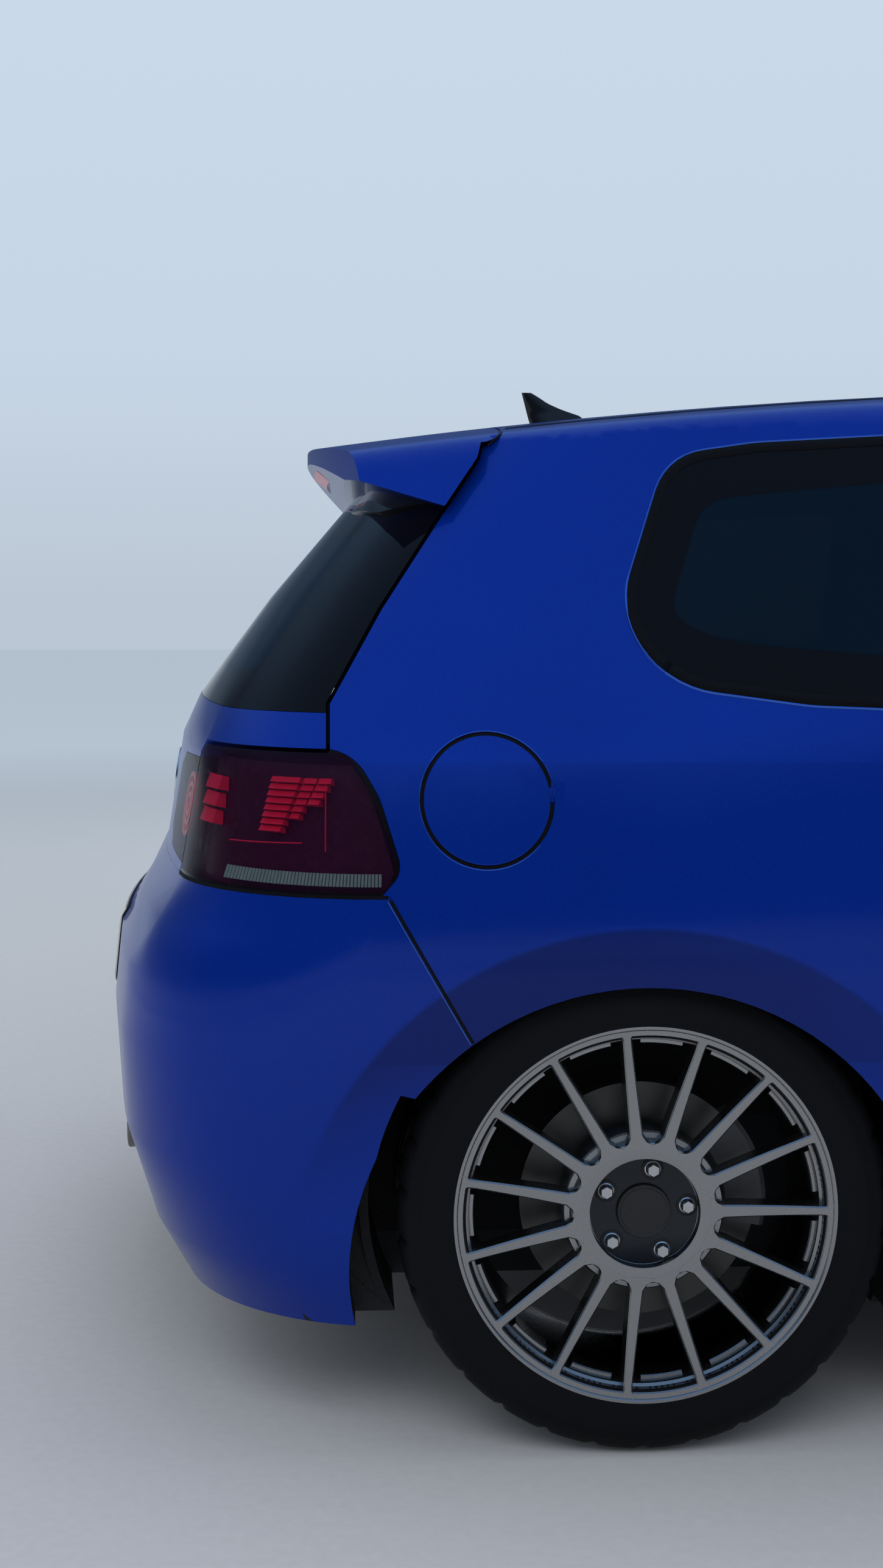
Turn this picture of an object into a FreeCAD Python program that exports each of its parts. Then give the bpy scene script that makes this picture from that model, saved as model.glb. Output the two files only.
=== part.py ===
import FreeCAD, Part
import math
import os
from FreeCAD import Vector

# A lowered three-door hatchback, in millimetres.
# +X is forward, +Y is the car's left, +Z is up. The origin is on the ground below the middle.

# Wheels and axles
REAR_AXLE_X = -1364.0
FRONT_AXLE_X = 1214.0
TYRE_RADIUS = 318.0
REAR_TRACK = 1514.0
FRONT_TRACK = 1514.0
RIM_RADIUS = 246.0
BARREL_RADIUS = 228.0
BARREL_THICKNESS = 6.0
RIM_HALF_WIDTH = 109.0
BEAD_HALF_WIDTH = 102.6
TREAD_HALF_WIDTH = 92.0
SPOKE_COUNT = 15
SPOKE_TURN = -6.6
HUB_RADIUS = 92.0
HUB_RECESS_RADIUS = 70.0
HUB_RECESS = 12.0
HUB_SET_BACK = 14.0
CAP_RADIUS = 34.0
SPOKE_HALF_WIDTHS = (8.5, 6.5)
SPOKE_DEPTH = 26.0
SHOULDER_RADIUS = 300.0
HAT_RADIUS = 75.0
HAT_DEPTH = 38.0
MOUNT_FACE = 45.0
STUB_RADIUS = 20.0
DISC_RADIUS = 155.0
DISC_THICKNESS = 22.0
STEER_AXIS_Y = 725.0
KINGPIN_RADIUS = 12.0

# Clearances
SHUT = 5.0
SEAM = 0.6
RUNNING = 0.3

# Body thicknesses
GLASS = 6.0
FRAME_BEHIND_GLASS = 6.4
BUMPER_WALL = 60.0
LAMP_DEPTH = 45.0
BONNET_WALL = 28.0
ROOF_WALL = 48.0
WING_WALL = 40.0

# Heights
UNDERBODY_Z = 175.0
FLOOR_TOP_Z = 225.0
SILL_TOP_Z = 262.0

# Body outline in plan at each height, front and rear faces as arcs joined to the side arc by corner arcs.
# z, rear_x, rear_r, rear_corner_r, half_width, side_r, side_x, front_corner_r, front_r, front_x, wall
OUTLINES = [
    (165, -2010, 3600, 300, 846, 60000, -100, 420, 2600, 2010, 80),
    (250, -2056, 3600, 300, 868, 70000, -100, 430, 2600, 2075, 80),
    (380, -2096, 3600, 300, 884, 80000, -100, 440, 2600, 2100, 80),
    (520, -2104, 3600, 300, 893, 90000, -80, 450, 2600, 2106, 80),
    (610, -2094, 3600, 300, 893, 90000, -80, 460, 2600, 2090, 80),
    (670, -2056, 3400, 290, 891, 85000, -80, 470, 2600, 2060, 80),
    (735, -2025, 3200, 280, 885, 65000, -100, 480, 2600, 2030, 80),
    (893, -2000, 3000, 270, 862, 28000, -200, 480, 2600, 1996, 74),
    (950, -1974, 2800, 260, 842, 18000, -250, 480, 2600, 1980, 62),
    (1100, -1862, 2600, 250, 776, 14000, -300, 450, 2600, 1950, 48),
    (1440, -1570, 2200, 220, 582, 11000, -400, 400, 2600, 1850, 48),
]

# The rows that shape the inner faces
INNER_ROWS = (0, 3, 6, 8, 10)

# Roof crown: one arc along the car, turned about a line along the car
ROOF_ARC = 9690.0
ROOF_TOP_X = -450.0
ROOF_TOP_Z = 1425.0
ROOF_CROWN = 4000.0
ROOF_EDGE_RADIUS = 90.0

# Bonnet crown: one arc along the car, turned about a line along the car
BONNET_ARC = 4050.0
BONNET_TOP_X = 440.0
BONNET_TOP_Z = 988.0
BONNET_CROWN = 3500.0

# Windscreen: an arc in plan carried up a slope
SCREEN_BASE = (775.0, 960.0)
SCREEN_TOP = (62.0, 1400.0)
SCREEN_PLAN_RADIUS = 2200.0

# Door hinge and shut lines, right side; the left door mirrors it
DOOR_AXIS_X = 600.0
DOOR_AXIS_Y = 840.0
DOOR_FRONT_RADIUS = 80.0
DOOR_REAR_RADIUS = 1240.0
DOOR_SIDE = ((900, SILL_TOP_Z), (900, 905), (700, 905), (-20, 1318), (-150, 1342), (-900, 1350),
             (-900, SILL_TOP_Z))
DOOR_GLASS_SIDE = ((560, 938), (20, 1268), (-90, 1312), (-560, 1322), (-578, 1312), (-590, 952))
DOOR_GLASS_RADII = (14, 60, 60, 14, 14, 20)

# Rear quarter window in side view
QUARTER_GLASS_SIDE = ((-1392, 1055), (-1306, 1283), (-1190, 1300), (-700, 1326), (-690, 952), (-1150, 970),
                      (-1300, 990))
QUARTER_GLASS_RADII = (100, 80, 300, 14, 20, 300, 120)

# Tailgate hinge and shut line in side view
TAILGATE_AXIS_X = -1556.0
TAILGATE_AXIS_Z = 1340.0
TAILGATE_FRONT_RADIUS = 30.0
TAILGATE_HINGE_Y = 230.0
TAILGATE_PIN = 4.0
TAILGATE_SIDE = ((-1556, 1420), (-1554, 1319), (-1563, 1288), (-1624, 1199), (-1698, 1087), (-1767, 965),
                 (-1767, 909), (-2300, 909), (-2300, 1420))
TAILGATE_LOW_X = -1767.0
TAILGATE_OPENING = ((-600, 1010), (-430, 1228), (430, 1228), (600, 1010))
LAMP_SPLIT_Y = 610.0
BUMPER_TOP_Z = 729.0
REAR_GLASS_BASE_Z = 953.0

# Spoiler in side view
SPOILER_SIDE = ((-1500, 1460), (-1500, 1200), (-1612, 1222), (-1742, 1262), (-1801, 1312), (-1830, 1330),
                (-1830, 1460))
SPOILER_TIP_X = -1801.0
SPOILER_WALL = 30.0
SPOILER_TIP_ARC = 2400.0

# Tail lamp in side view
TAIL_LAMP_SIDE = ((-1672, 760), (-1700, 850), (-1735, 909), (-2300, 909), (-2300, 729), (-1700, 729))
TAIL_LAMP_RADII = (30, 100, 60, 0, 0, 0)

# Rear bumper and front bumper seams in side view
REAR_BUMPER_SIDE = ((-2300, BUMPER_TOP_Z), (-1687, BUMPER_TOP_Z), (-1560, 503), (-1560, 100), (-2300, 100))
FRONT_BUMPER_SIDE = ((1560, 100), (1560, 470), (1660, 606), (2300, 606), (2300, 100))
HEAD_LAMP_INNER_Y = 430.0
HEAD_LAMP_SIDE = ((1640, 606), (1600, 700), (1660, 748), (2300, 700), (2300, 606))

# Fuel flap on the right side
FLAP_CENTRE = (-1566.0, 847.0)
FLAP_RADIUS = 79.0
FLAP_POCKET = 50.0

# Wheel arches: axle x, opening x, opening z, opening radius, housing radius, inside of the lip
REAR_ARCH = (REAR_AXLE_X, REAR_AXLE_X - 3.0, 242.0, 374.0, 352.0, 876.0)
FRONT_ARCH = (FRONT_AXLE_X, FRONT_AXLE_X, 262.0, 394.0, 376.0, 862.0)
REAR_WELL_Y = 622.0
FRONT_WELL_Y = 470.0
LINER = 12.0
LIP_DEPTH = 110.0

# Grille and diffuser openings in front view
LOWER_GRILLE = ((-440, 250), (-500, 420), (-470, 448), (470, 448), (500, 420), (440, 250))
DIFFUSER = ((-470, 100), (-470, 262), (-430, 300), (430, 300), (470, 262), (470, 100))

# Door hinges
DOOR_SWING = 67.0
DOOR_HINGE_HEIGHTS = (420.0, 780.0)
DOOR_HINGE_HEIGHT = 30.0
DOOR_ARM_HALF = 11.0
DOOR_PIN = 8.0
DOOR_PIN_REACH = 25.0
DOOR_INNER_Y = 560.0
POST_FACE = 86.0
POST_DEPTH = 44.0

# Windscreen in front view, and the roof panel's half width
SCREEN_FRONT = ((-735, 925), (-556, 1376), (556, 1376), (735, 925), (0, 1002))
SCREEN_RADII = (30, 60, 60, 30, 3000)
ROOF_HALF_WIDTH = 485.0
FIREWALL_X = 640.0
ENGINE_ROOM_X = 700.0
BULKHEAD_HALF_WIDTH = 700.0
FLOOR_HALF_WIDTH = 750.0
PILLAR_BASE_Z = 905.0

# Room under the floor for the rear axle and for the silencer
AXLE_ROOM_REAR = -1460.0
AXLE_ROOM_FRONT = -1130.0
AXLE_ROOM_HALF = 616.0
AXLE_ROOM_Z = 372.0
CARRIER_HALF = 45.0
CARRIER_TOP = 50.0
CARRIER_ROOM = 15.0
FLOOR_SHEET = 12.0
SILENCER_X = -1835.0
SILENCER_Z = 215.0
SILENCER_RADIUS = 65.0
SILENCER_HALF = 300.0
SILENCER_ROOM_X = -1750.0
SILENCER_ROOM_HALF = 340.0
SILENCER_ROOM_Z = 300.0
PIPE_Z = 136.0
PIPE_RADIUS = 25.0
PIPE_FRONT_X = 860.0
ENGINE_PIPE_Z = 320.0

# Engine
ENGINE_X = (1040.0, 1560.0)
ENGINE_HALF_WIDTH = 360.0
ENGINE_TOP_Z = 740.0

# Tailgate and bonnet hinges
TAILGATE_HINGE_WIDTH = 24.0
TAILGATE_SWING = 80.0
TAILGATE_ARM_HALF = 6.0
TAILGATE_POCKET = 75.0
HEADER_LOW_Z = 1268.0
HEADER_TOP_Z = 1298.0
BONNET_AXIS_X = 724.0
BONNET_AXIS_Z = 880.0
BONNET_TO_SCREEN = 34.0
COWL_DEPTH = 44.0
COWL_SHEET = 10.0
COWL_FRONT_X = 835.0
BONNET_PIN = 5.0
BONNET_HINGE_Y = 600.0

# Fuel flap hinge
FLAP_AXIS_X = -1484.0
FLAP_PIN = 2.0
FLAP_BARREL = 4.5
FLAP_DEPTH = 5.5
FLAP_NOTCH_LOW = 46.0
FLAP_NOTCH_HIGH = 21.0
FLAP_NOTCH_FRONT = 14.0

# Solids under this volume are shavings of a cut
SLIVER = 2000.0


def box(x0, x1, y0, y1, z0, z1):
    return Part.makeBox(x1 - x0, y1 - y0, z1 - z0, Vector(x0, y0, z0))


def cylinder_y(x, z, radius, y0, y1):
    return Part.makeCylinder(radius, y1 - y0, Vector(x, y0, z), Vector(0, 1, 0))


def cylinder_z(x, y, radius, z0, z1):
    return Part.makeCylinder(radius, z1 - z0, Vector(x, y, z0))


def cylinder_x(y, z, radius, x0, x1):
    return Part.makeCylinder(radius, x1 - x0, Vector(x0, y, z), Vector(1, 0, 0))


def mirrored(shape):
    return shape.mirror(Vector(0, 0, 0), Vector(0, 1, 0))


def rounded_wire(points, radii, place):
    """A closed outline through points, each corner rounded; place turns (a, b) into a vector."""
    edges = []
    count = len(points)
    starts = []
    for i in range(count):
        ax, ay = points[i - 1]
        bx, by = points[i]
        cx, cy = points[(i + 1) % count]
        r = radii[i]
        la = math.hypot(ax - bx, ay - by)
        lc = math.hypot(cx - bx, cy - by)
        ua = ((ax - bx) / la, (ay - by) / la)
        uc = ((cx - bx) / lc, (cy - by) / lc)
        half = math.acos(max(-1, min(1, ua[0] * uc[0] + ua[1] * uc[1]))) / 2
        t = r / math.tan(half) if r else 0.0
        first = (bx + ua[0] * t, by + ua[1] * t)
        last = (bx + uc[0] * t, by + uc[1] * t)
        if r:
            away = r / math.sin(half) - r
            m = (ua[0] + uc[0], ua[1] + uc[1])
            k = math.hypot(*m)
            middle = (bx + m[0] / k * away, by + m[1] / k * away)
        else:
            middle = None
        starts.append((first, middle, last))
    for i in range(count):
        first, middle, last = starts[i]
        if middle:
            edges.append(Part.Arc(place(*first), place(*middle), place(*last)).toShape())
        following = starts[(i + 1) % count][0]
        if math.hypot(following[0] - last[0], following[1] - last[1]) > 1e-6:
            edges.append(Part.LineSegment(place(*last), place(*following)).toShape())
    return Part.Wire(edges)


def grown(face, amount):
    return face.makeOffset2D(amount) if amount else face


def side_prism(points, y0, y1, grow=0.0, radii=None):
    """A side-view outline (x, z) carried from y0 to y1."""
    wire = rounded_wire(points, radii or [0] * len(points), lambda a, b: Vector(a, 0, b))
    face = grown(Part.Face(wire), grow)
    face.translate(Vector(0, y0, 0))
    return face.extrude(Vector(0, y1 - y0, 0))


def plan_prism(points, z0, z1, grow=0.0, radii=None):
    """A plan-view outline (x, y) carried from z0 to z1."""
    wire = rounded_wire(points, radii or [0] * len(points), lambda a, b: Vector(a, b, 0))
    face = grown(Part.Face(wire), grow)
    face.translate(Vector(0, 0, z0))
    return face.extrude(Vector(0, 0, z1 - z0))


def front_prism(points, x0, x1, grow=0.0, radii=None):
    """A front-view outline (y, z) carried from x0 to x1."""
    wire = rounded_wire(points, radii or [0] * len(points), lambda a, b: Vector(0, a, b))
    face = grown(Part.Face(wire), grow)
    face.translate(Vector(x0, 0, 0))
    return face.extrude(Vector(x1 - x0, 0, 0))


def corner_centre(end_x, end_r, side_x, side_y, side_r, r, sign):
    """Centre of a corner arc of radius r that touches the end arc and the side arc from inside."""
    a = end_r - r
    b = side_r - r
    dx = side_x - end_x
    dy = side_y
    d = math.hypot(dx, dy)
    t = (a * a - b * b + d * d) / (2 * d)
    h = math.sqrt(a * a - t * t)
    px = end_x + dx * t / d
    py = dy * t / d
    found = [(px - dy * h / d, py + dx * h / d), (px + dy * h / d, py - dx * h / d)]
    return [c for c in found if (c[0] - side_x) * sign > 0][0]


def beyond(start, centre, r):
    """The point of the circle about centre that lies in line with start."""
    dx = centre[0] - start[0]
    dy = centre[1] - start[1]
    d = math.hypot(dx, dy)
    return (centre[0] + dx * r / d, centre[1] + dy * r / d)


def between(centre, r, p, q):
    """The middle of the arc from p to q."""
    return beyond((2 * centre[0] - (p[0] + q[0]) / 2, 2 * centre[1] - (p[1] + q[1]) / 2), centre, r)


def outline(row, inset, rear_x=None):
    """One closed plan outline of the body, moved inwards by inset, or by its wall where inset is None."""
    z, end_x, end_r, end_corner, half_width, side_r, side_x, nose_corner, nose_r, nose_x, wall = row
    if inset is None:
        inset = wall
    if rear_x is not None:
        end_x = rear_x
    end_x += inset
    nose_x -= inset
    half_width -= inset
    end_r -= inset
    nose_r -= inset
    side_r -= inset
    end_corner -= inset
    nose_corner -= inset
    end_centre = (end_x + end_r, 0.0)
    nose_centre = (nose_x - nose_r, 0.0)
    side_centre = (side_x, half_width - side_r)
    rear = corner_centre(end_centre[0], end_r, side_x, side_centre[1], side_r, end_corner, -1)
    front = corner_centre(nose_centre[0], nose_r, side_x, side_centre[1], side_r, nose_corner, 1)
    a = beyond(end_centre, rear, end_corner)
    b = beyond(side_centre, rear, end_corner)
    c = beyond(side_centre, front, nose_corner)
    d = beyond(nose_centre, front, nose_corner)
    rear_middle = between(rear, end_corner, a, b)
    front_middle = between(front, nose_corner, c, d)

    def at(point, side=1):
        return Vector(point[0], side * point[1], z)

    arcs = [
        Part.Arc(at(a, -1), at((end_x, 0)), at(a)),
        Part.Arc(at(a), at(rear_middle), at(b)),
        Part.Arc(at(b), at((side_x, half_width)), at(c)),
        Part.Arc(at(c), at(front_middle), at(d)),
        Part.Arc(at(d), at((nose_x, 0)), at(d, -1)),
        Part.Arc(at(d, -1), at(front_middle, -1), at(c, -1)),
        Part.Arc(at(c, -1), at((side_x, half_width), -1), at(b, -1)),
        Part.Arc(at(b, -1), at(rear_middle, -1), at(a, -1)),
    ]
    return Part.Wire([arc.toShape() for arc in arcs])


def hull(inset, rear_x=None):
    """The body's outside as a solid, moved inwards by inset."""
    return Part.makeLoft([outline(row, inset, rear_x) for row in OUTLINES], True, True)


def inner_hull(inset):
    """A plainer solid inside the body's outside, for faces that are seen from within."""
    return Part.makeLoft([outline(OUTLINES[i], inset) for i in INNER_ROWS], True, True)


def crown_tool(radius, top_x, top_z, crown, x0, x1, top):
    """All that lies above a crowned surface: an arc in the middle plane turned about a line along X."""
    def height(x):
        return top_z - radius + math.sqrt(radius ** 2 - (x - top_x) ** 2)

    arc = Part.Arc(Vector(x0, 0, height(x0)), Vector(top_x, 0, top_z), Vector(x1, 0, height(x1)))
    first = arc.value(arc.FirstParameter)
    last = arc.value(arc.LastParameter)
    low = Vector(x0, 0, top)
    high = Vector(x1, 0, top)
    corners = [last, high, low, first]
    edges = [arc.toShape()] + [Part.LineSegment(corners[i], corners[i + 1]).toShape() for i in range(3)]
    face = Part.Face(Part.Wire(edges))
    pivot = Vector(0, 0, top_z - crown)
    reach = 24.0
    face.rotate(pivot, Vector(1, 0, 0), -reach)
    return face.revolve(pivot, Vector(1, 0, 0), 2 * reach)


def above_roof(drop=0.0):
    return crown_tool(ROOF_ARC, ROOF_TOP_X, ROOF_TOP_Z - drop, ROOF_CROWN, -2400.0, 1500.0, 1900.0)


def above_bonnet(drop=0.0):
    return crown_tool(BONNET_ARC, BONNET_TOP_X, BONNET_TOP_Z - drop, BONNET_CROWN, -200.0, 2200.0, 1500.0)


def before_screen(inset=0.0, reach=1000.0):
    """All that lies in front of the windscreen's outer face."""
    run = SCREEN_BASE[0] - SCREEN_TOP[0]
    rise = SCREEN_TOP[1] - SCREEN_BASE[1]
    start_z = 700.0
    x = SCREEN_BASE[0] + (SCREEN_BASE[1] - start_z) * run / rise - inset / math.sin(math.atan2(rise, run))
    bow = SCREEN_PLAN_RADIUS - math.sqrt(SCREEN_PLAN_RADIUS ** 2 - reach ** 2)
    far = 4000.0
    arc = Part.Arc(Vector(x - bow, -reach, start_z), Vector(x, 0, start_z), Vector(x - bow, reach, start_z))
    corners = [Vector(x - bow, reach, start_z), Vector(far, reach, start_z), Vector(far, -reach, start_z),
               Vector(x - bow, -reach, start_z)]
    edges = [arc.toShape()] + [Part.LineSegment(corners[i], corners[i + 1]).toShape() for i in range(3)]
    lift = 900.0
    return Part.Face(Part.Wire(edges)).extrude(Vector(-lift * run / rise, 0, lift))


def roofed(solid, radius):
    """The solid cut to the roof's crown, with its roof edge rounded."""
    cut = solid.cut(above_roof())
    high = [face for face in cut.Faces if face.BoundBox.ZMax > 1400]
    crown = [face for face in high if face.BoundBox.YLength > 800 and face.BoundBox.XLength > 1500]
    return cut.makeFillet(radius, crown[0].Edges)


def both_sides(shape):
    return shape.fuse(mirrored(shape))


def door_zone(grow, inner_y):
    """The door's outline in side view, with its front and rear faces turned about the hinge."""
    side = side_prism(DOOR_SIDE, inner_y, 1100, grow)
    rear = cylinder_z(DOOR_AXIS_X, DOOR_AXIS_Y, DOOR_REAR_RADIUS + grow, 100, 1500)
    front = cylinder_z(DOOR_AXIS_X, DOOR_AXIS_Y, DOOR_FRONT_RADIUS + grow, 100, 1500)
    behind = box(-1000, DOOR_AXIS_X, 300, 1100, 100, 1500)
    return side.common(rear).common(behind.fuse(front))


def swept_arm(centre, swing, reach, half_width):
    """Outline of the room that an arm of this half width needs as it swings about the centre."""
    first = math.radians(-90)
    last = math.radians(-90 + swing)
    trail = (half_width * math.sin(first), -half_width * math.cos(first))
    lead = (-half_width * math.sin(last), half_width * math.cos(last))
    turns = [first + (last - first) * i / 3 for i in range(4)]
    arc = [(reach * math.cos(turn), reach * math.sin(turn)) for turn in turns]
    points = [trail, (arc[0][0] + trail[0], arc[0][1] + trail[1])]
    points += arc[1:3]
    points += [(arc[3][0] + lead[0], arc[3][1] + lead[1]), lead]
    return [(centre[0] + a, centre[1] + b) for a, b in points]


def door_hinge_pockets():
    """Room in the door for the hinge arms through the door's swing, and bores for their pins."""
    pockets = []
    reach = 1.15 * (POST_FACE + SHUT)
    bore_reach = DOOR_PIN_REACH + 1
    for z in DOOR_HINGE_HEIGHTS:
        low = z - DOOR_HINGE_HEIGHT / 2 - SHUT
        high = z + DOOR_HINGE_HEIGHT / 2 + SHUT
        room = swept_arm((DOOR_AXIS_X, DOOR_AXIS_Y), DOOR_SWING, reach, DOOR_ARM_HALF + SHUT)
        pocket = plan_prism(room, low, high)
        pocket = pocket.fuse(cylinder_z(DOOR_AXIS_X, DOOR_AXIS_Y, DOOR_ARM_HALF + 9, low, high))
        bore = cylinder_z(DOOR_AXIS_X, DOOR_AXIS_Y, DOOR_PIN + RUNNING, low - bore_reach, high + bore_reach)
        pockets.append(pocket.fuse(bore))
    return pockets[0].fuse(pockets[1:])


def hinge_post():
    """The front door post with its hinge arms and pins, inside the body's skin."""
    x0 = DOOR_AXIS_X - 40
    x1 = DOOR_AXIS_X + DOOR_FRONT_RADIUS + SHUT + 4
    y1 = DOOR_AXIS_Y - POST_FACE
    post = box(x0, x1 + 60, y1 - POST_DEPTH, y1, FLOOR_TOP_Z, 900)
    post = post.fuse(box(x1, x1 + 60, y1 - POST_DEPTH, DOOR_AXIS_Y + 20, FLOOR_TOP_Z, 800))
    for z in DOOR_HINGE_HEIGHTS:
        low = z - DOOR_HINGE_HEIGHT / 2
        high = z + DOOR_HINGE_HEIGHT / 2
        arm = box(DOOR_AXIS_X - DOOR_ARM_HALF, DOOR_AXIS_X + DOOR_ARM_HALF, y1 - 5, DOOR_AXIS_Y, low, high)
        arm = arm.fuse(cylinder_z(DOOR_AXIS_X, DOOR_AXIS_Y, DOOR_ARM_HALF + 3, low, high))
        pin = cylinder_z(DOOR_AXIS_X, DOOR_AXIS_Y, DOOR_PIN, low - DOOR_PIN_REACH, high + DOOR_PIN_REACH)
        post = post.fuse([arm, pin])
    return post


def tailgate_zone(grow):
    side = side_prism(TAILGATE_SIDE, -1000, 1000, grow)
    half = LAMP_SPLIT_Y + grow
    low = box(-2300, TAILGATE_LOW_X + grow, -half, half, BUMPER_TOP_Z - grow, TAILGATE_SIDE[6][1] + 20)
    roll = cylinder_y(TAILGATE_AXIS_X, TAILGATE_AXIS_Z, TAILGATE_FRONT_RADIUS + grow, -1000, 1000)
    return side.fuse([low, roll])


def spoiler_zone():
    side = side_prism(SPOILER_SIDE, -1000, 1000)
    half = 900.0
    bow = SPOILER_TIP_ARC - math.sqrt(SPOILER_TIP_ARC ** 2 - half ** 2)
    back = [Vector(SPOILER_TIP_X + bow, -half, 1000), Vector(-1400, -half, 1000), Vector(-1400, half, 1000),
            Vector(SPOILER_TIP_X + bow, half, 1000)]
    arc = Part.Arc(back[3], Vector(SPOILER_TIP_X, 0, 1000), back[0])
    edges = [arc.toShape()] + [Part.LineSegment(back[i], back[i + 1]).toShape() for i in range(3)]
    plan = Part.Face(Part.Wire(edges)).extrude(Vector(0, 0, 600))
    return side.common(plan)


def arch_cut(arch, well_y):
    """Opening through the side skin and the housing inside its lip, left side."""
    axle_x, x, z, radius, housing, lip_y = arch
    opening = cylinder_y(x, z, radius, lip_y - LIP_DEPTH, 1000)
    well = cylinder_y(axle_x, TYRE_RADIUS, housing, well_y, lip_y)
    return opening.fuse(well)


def arch_liner(arch, well_y, outer_y, low_z):
    """Sheet-metal housing round a wheel, open at the bottom, left side."""
    axle_x, x, z, radius, housing, lip_y = arch
    tub = cylinder_y(axle_x, TYRE_RADIUS, housing + LINER, well_y - LINER, outer_y)
    tub = tub.cut(cylinder_y(axle_x, TYRE_RADIUS, housing, well_y, 1000))
    return tub.common(box(axle_x - 600, axle_x + 600, 0, 1000, low_z, 900))


def bonnet_zone(grow, behind):
    """The bonnet's outline in plan, ending at a distance behind the windscreen's face."""
    plan = [(560, 730), (1700, 668), (1945, 560), (1988, 0), (1945, -560), (1700, -668), (560, -730)]
    return plan_prism(plan, 400, 1300, grow).common(before_screen(behind))


def tail_lamp_zone(grow):
    side = side_prism(TAIL_LAMP_SIDE, LAMP_SPLIT_Y + SHUT / 2 - grow, 1100, grow, TAIL_LAMP_RADII)
    return both_sides(side)


def tailgate_lamp_zone(grow):
    """The lamp's inner part, tapering towards the middle."""
    top = TAIL_LAMP_SIDE[2][1] - 22
    low = BUMPER_TOP_Z + 10
    outer = LAMP_SPLIT_Y + 60
    points = [(390, low + 34), (390, top - 30), (440, top - 8), (outer, top), (outer, low), (440, low + 6)]
    return both_sides(front_prism(points, -2300, -1700, grow))


def head_lamp_zone(grow):
    side = side_prism(HEAD_LAMP_SIDE, HEAD_LAMP_INNER_Y - grow, 1100, grow)
    return both_sides(side)


def upper_grille_zone(grow):
    half = HEAD_LAMP_INNER_Y - SEAM + grow
    return side_prism(((1700, 606), (1700, 700), (2300, 700), (2300, 606)), -half, half, grow)


def lower_grille_zone(grow):
    return front_prism(LOWER_GRILLE, 1700, 2300, grow)


def diffuser_zone(grow):
    return front_prism(DIFFUSER, -2300, -1700, grow)


def flap_disc(radius):
    return cylinder_y(FLAP_CENTRE[0], FLAP_CENTRE[1], radius, -1000, -500)


def wheel_profile(points, axle_y, side):
    """A ring turned about the axle from (distance outwards from the wheel's middle, radius) points."""
    wire = Part.makePolygon([Vector(0, side * (axle_y + u), r) for u, r in points + points[:1]])
    return Part.Face(wire).revolve(Vector(0, 0, 0), Vector(0, 1, 0), 360)


def rim(axle_y, side):
    inner = BARREL_RADIUS - BARREL_THICKNESS
    section = [(-BEAD_HALF_WIDTH, RIM_RADIUS), (-BEAD_HALF_WIDTH, BARREL_RADIUS),
               (BEAD_HALF_WIDTH, BARREL_RADIUS), (BEAD_HALF_WIDTH, RIM_RADIUS),
               (RIM_HALF_WIDTH, RIM_RADIUS), (RIM_HALF_WIDTH, RIM_RADIUS - 12),
               (RIM_HALF_WIDTH - 12, inner), (-RIM_HALF_WIDTH, inner), (-RIM_HALF_WIDTH, RIM_RADIUS)]
    ring = wheel_profile(section, axle_y, side)
    face = RIM_HALF_WIDTH - HUB_SET_BACK
    recess = face - HUB_RECESS
    bore = STUB_RADIUS + RUNNING
    section = [(MOUNT_FACE, bore), (MOUNT_FACE, HUB_RADIUS), (face, HUB_RADIUS), (face, HUB_RECESS_RADIUS),
               (recess, HUB_RECESS_RADIUS), (recess, bore)]
    hub = wheel_profile(section, axle_y, side)
    low = HUB_RADIUS - 4
    high = BARREL_RADIUS - BARREL_THICKNESS / 2
    half_root, half_tip = SPOKE_HALF_WIDTHS
    corners = [Vector(low, 0, -half_root), Vector(high, 0, -half_tip), Vector(high, 0, half_tip),
               Vector(low, 0, half_root)]
    blank = Part.Face(Part.makePolygon(corners + corners[:1]))
    blank.translate(Vector(0, side * (axle_y + face - SPOKE_DEPTH), 0))
    blank = blank.extrude(Vector(0, side * SPOKE_DEPTH, 0))
    spokes = []
    for i in range(SPOKE_COUNT):
        spoke = blank.copy()
        spoke.rotate(Vector(0, 0, 0), Vector(0, 1, 0), -side * (SPOKE_TURN + 360.0 * i / SPOKE_COUNT))
        spokes.append(spoke)
    cap = Part.makeCylinder(CAP_RADIUS, 13, Vector(0, side * (axle_y + recess - 3), 0), Vector(0, side, 0))
    return ring.fuse([hub, cap] + spokes)


def tyre(axle_y, side):
    inner = BARREL_RADIUS + RUNNING
    bead = BEAD_HALF_WIDTH - RUNNING
    half = [(bead, inner), (bead, SHOULDER_RADIUS), (TREAD_HALF_WIDTH, TYRE_RADIUS)]
    return wheel_profile(half + [(-u, r) for u, r in reversed(half)], axle_y, side)


def disc(axle_y, side):
    """Brake disc with its hat, held against the wheel's mounting face."""
    face = MOUNT_FACE - RUNNING
    back = face - HAT_DEPTH
    bore = STUB_RADIUS + RUNNING
    section = [(face, bore), (face, HAT_RADIUS), (back + DISC_THICKNESS, HAT_RADIUS),
               (back + DISC_THICKNESS, DISC_RADIUS), (back, DISC_RADIUS), (back, bore)]
    return wheel_profile(section, axle_y, side)


def stub(axle_y, side, start):
    length = axle_y + MOUNT_FACE + 22 - start
    return Part.makeCylinder(STUB_RADIUS, length, Vector(0, side * start, 0), Vector(0, side, 0))


def placed(shape, x):
    moved = shape.copy()
    moved.translate(Vector(x, 0, TYRE_RADIUS))
    return moved


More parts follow.
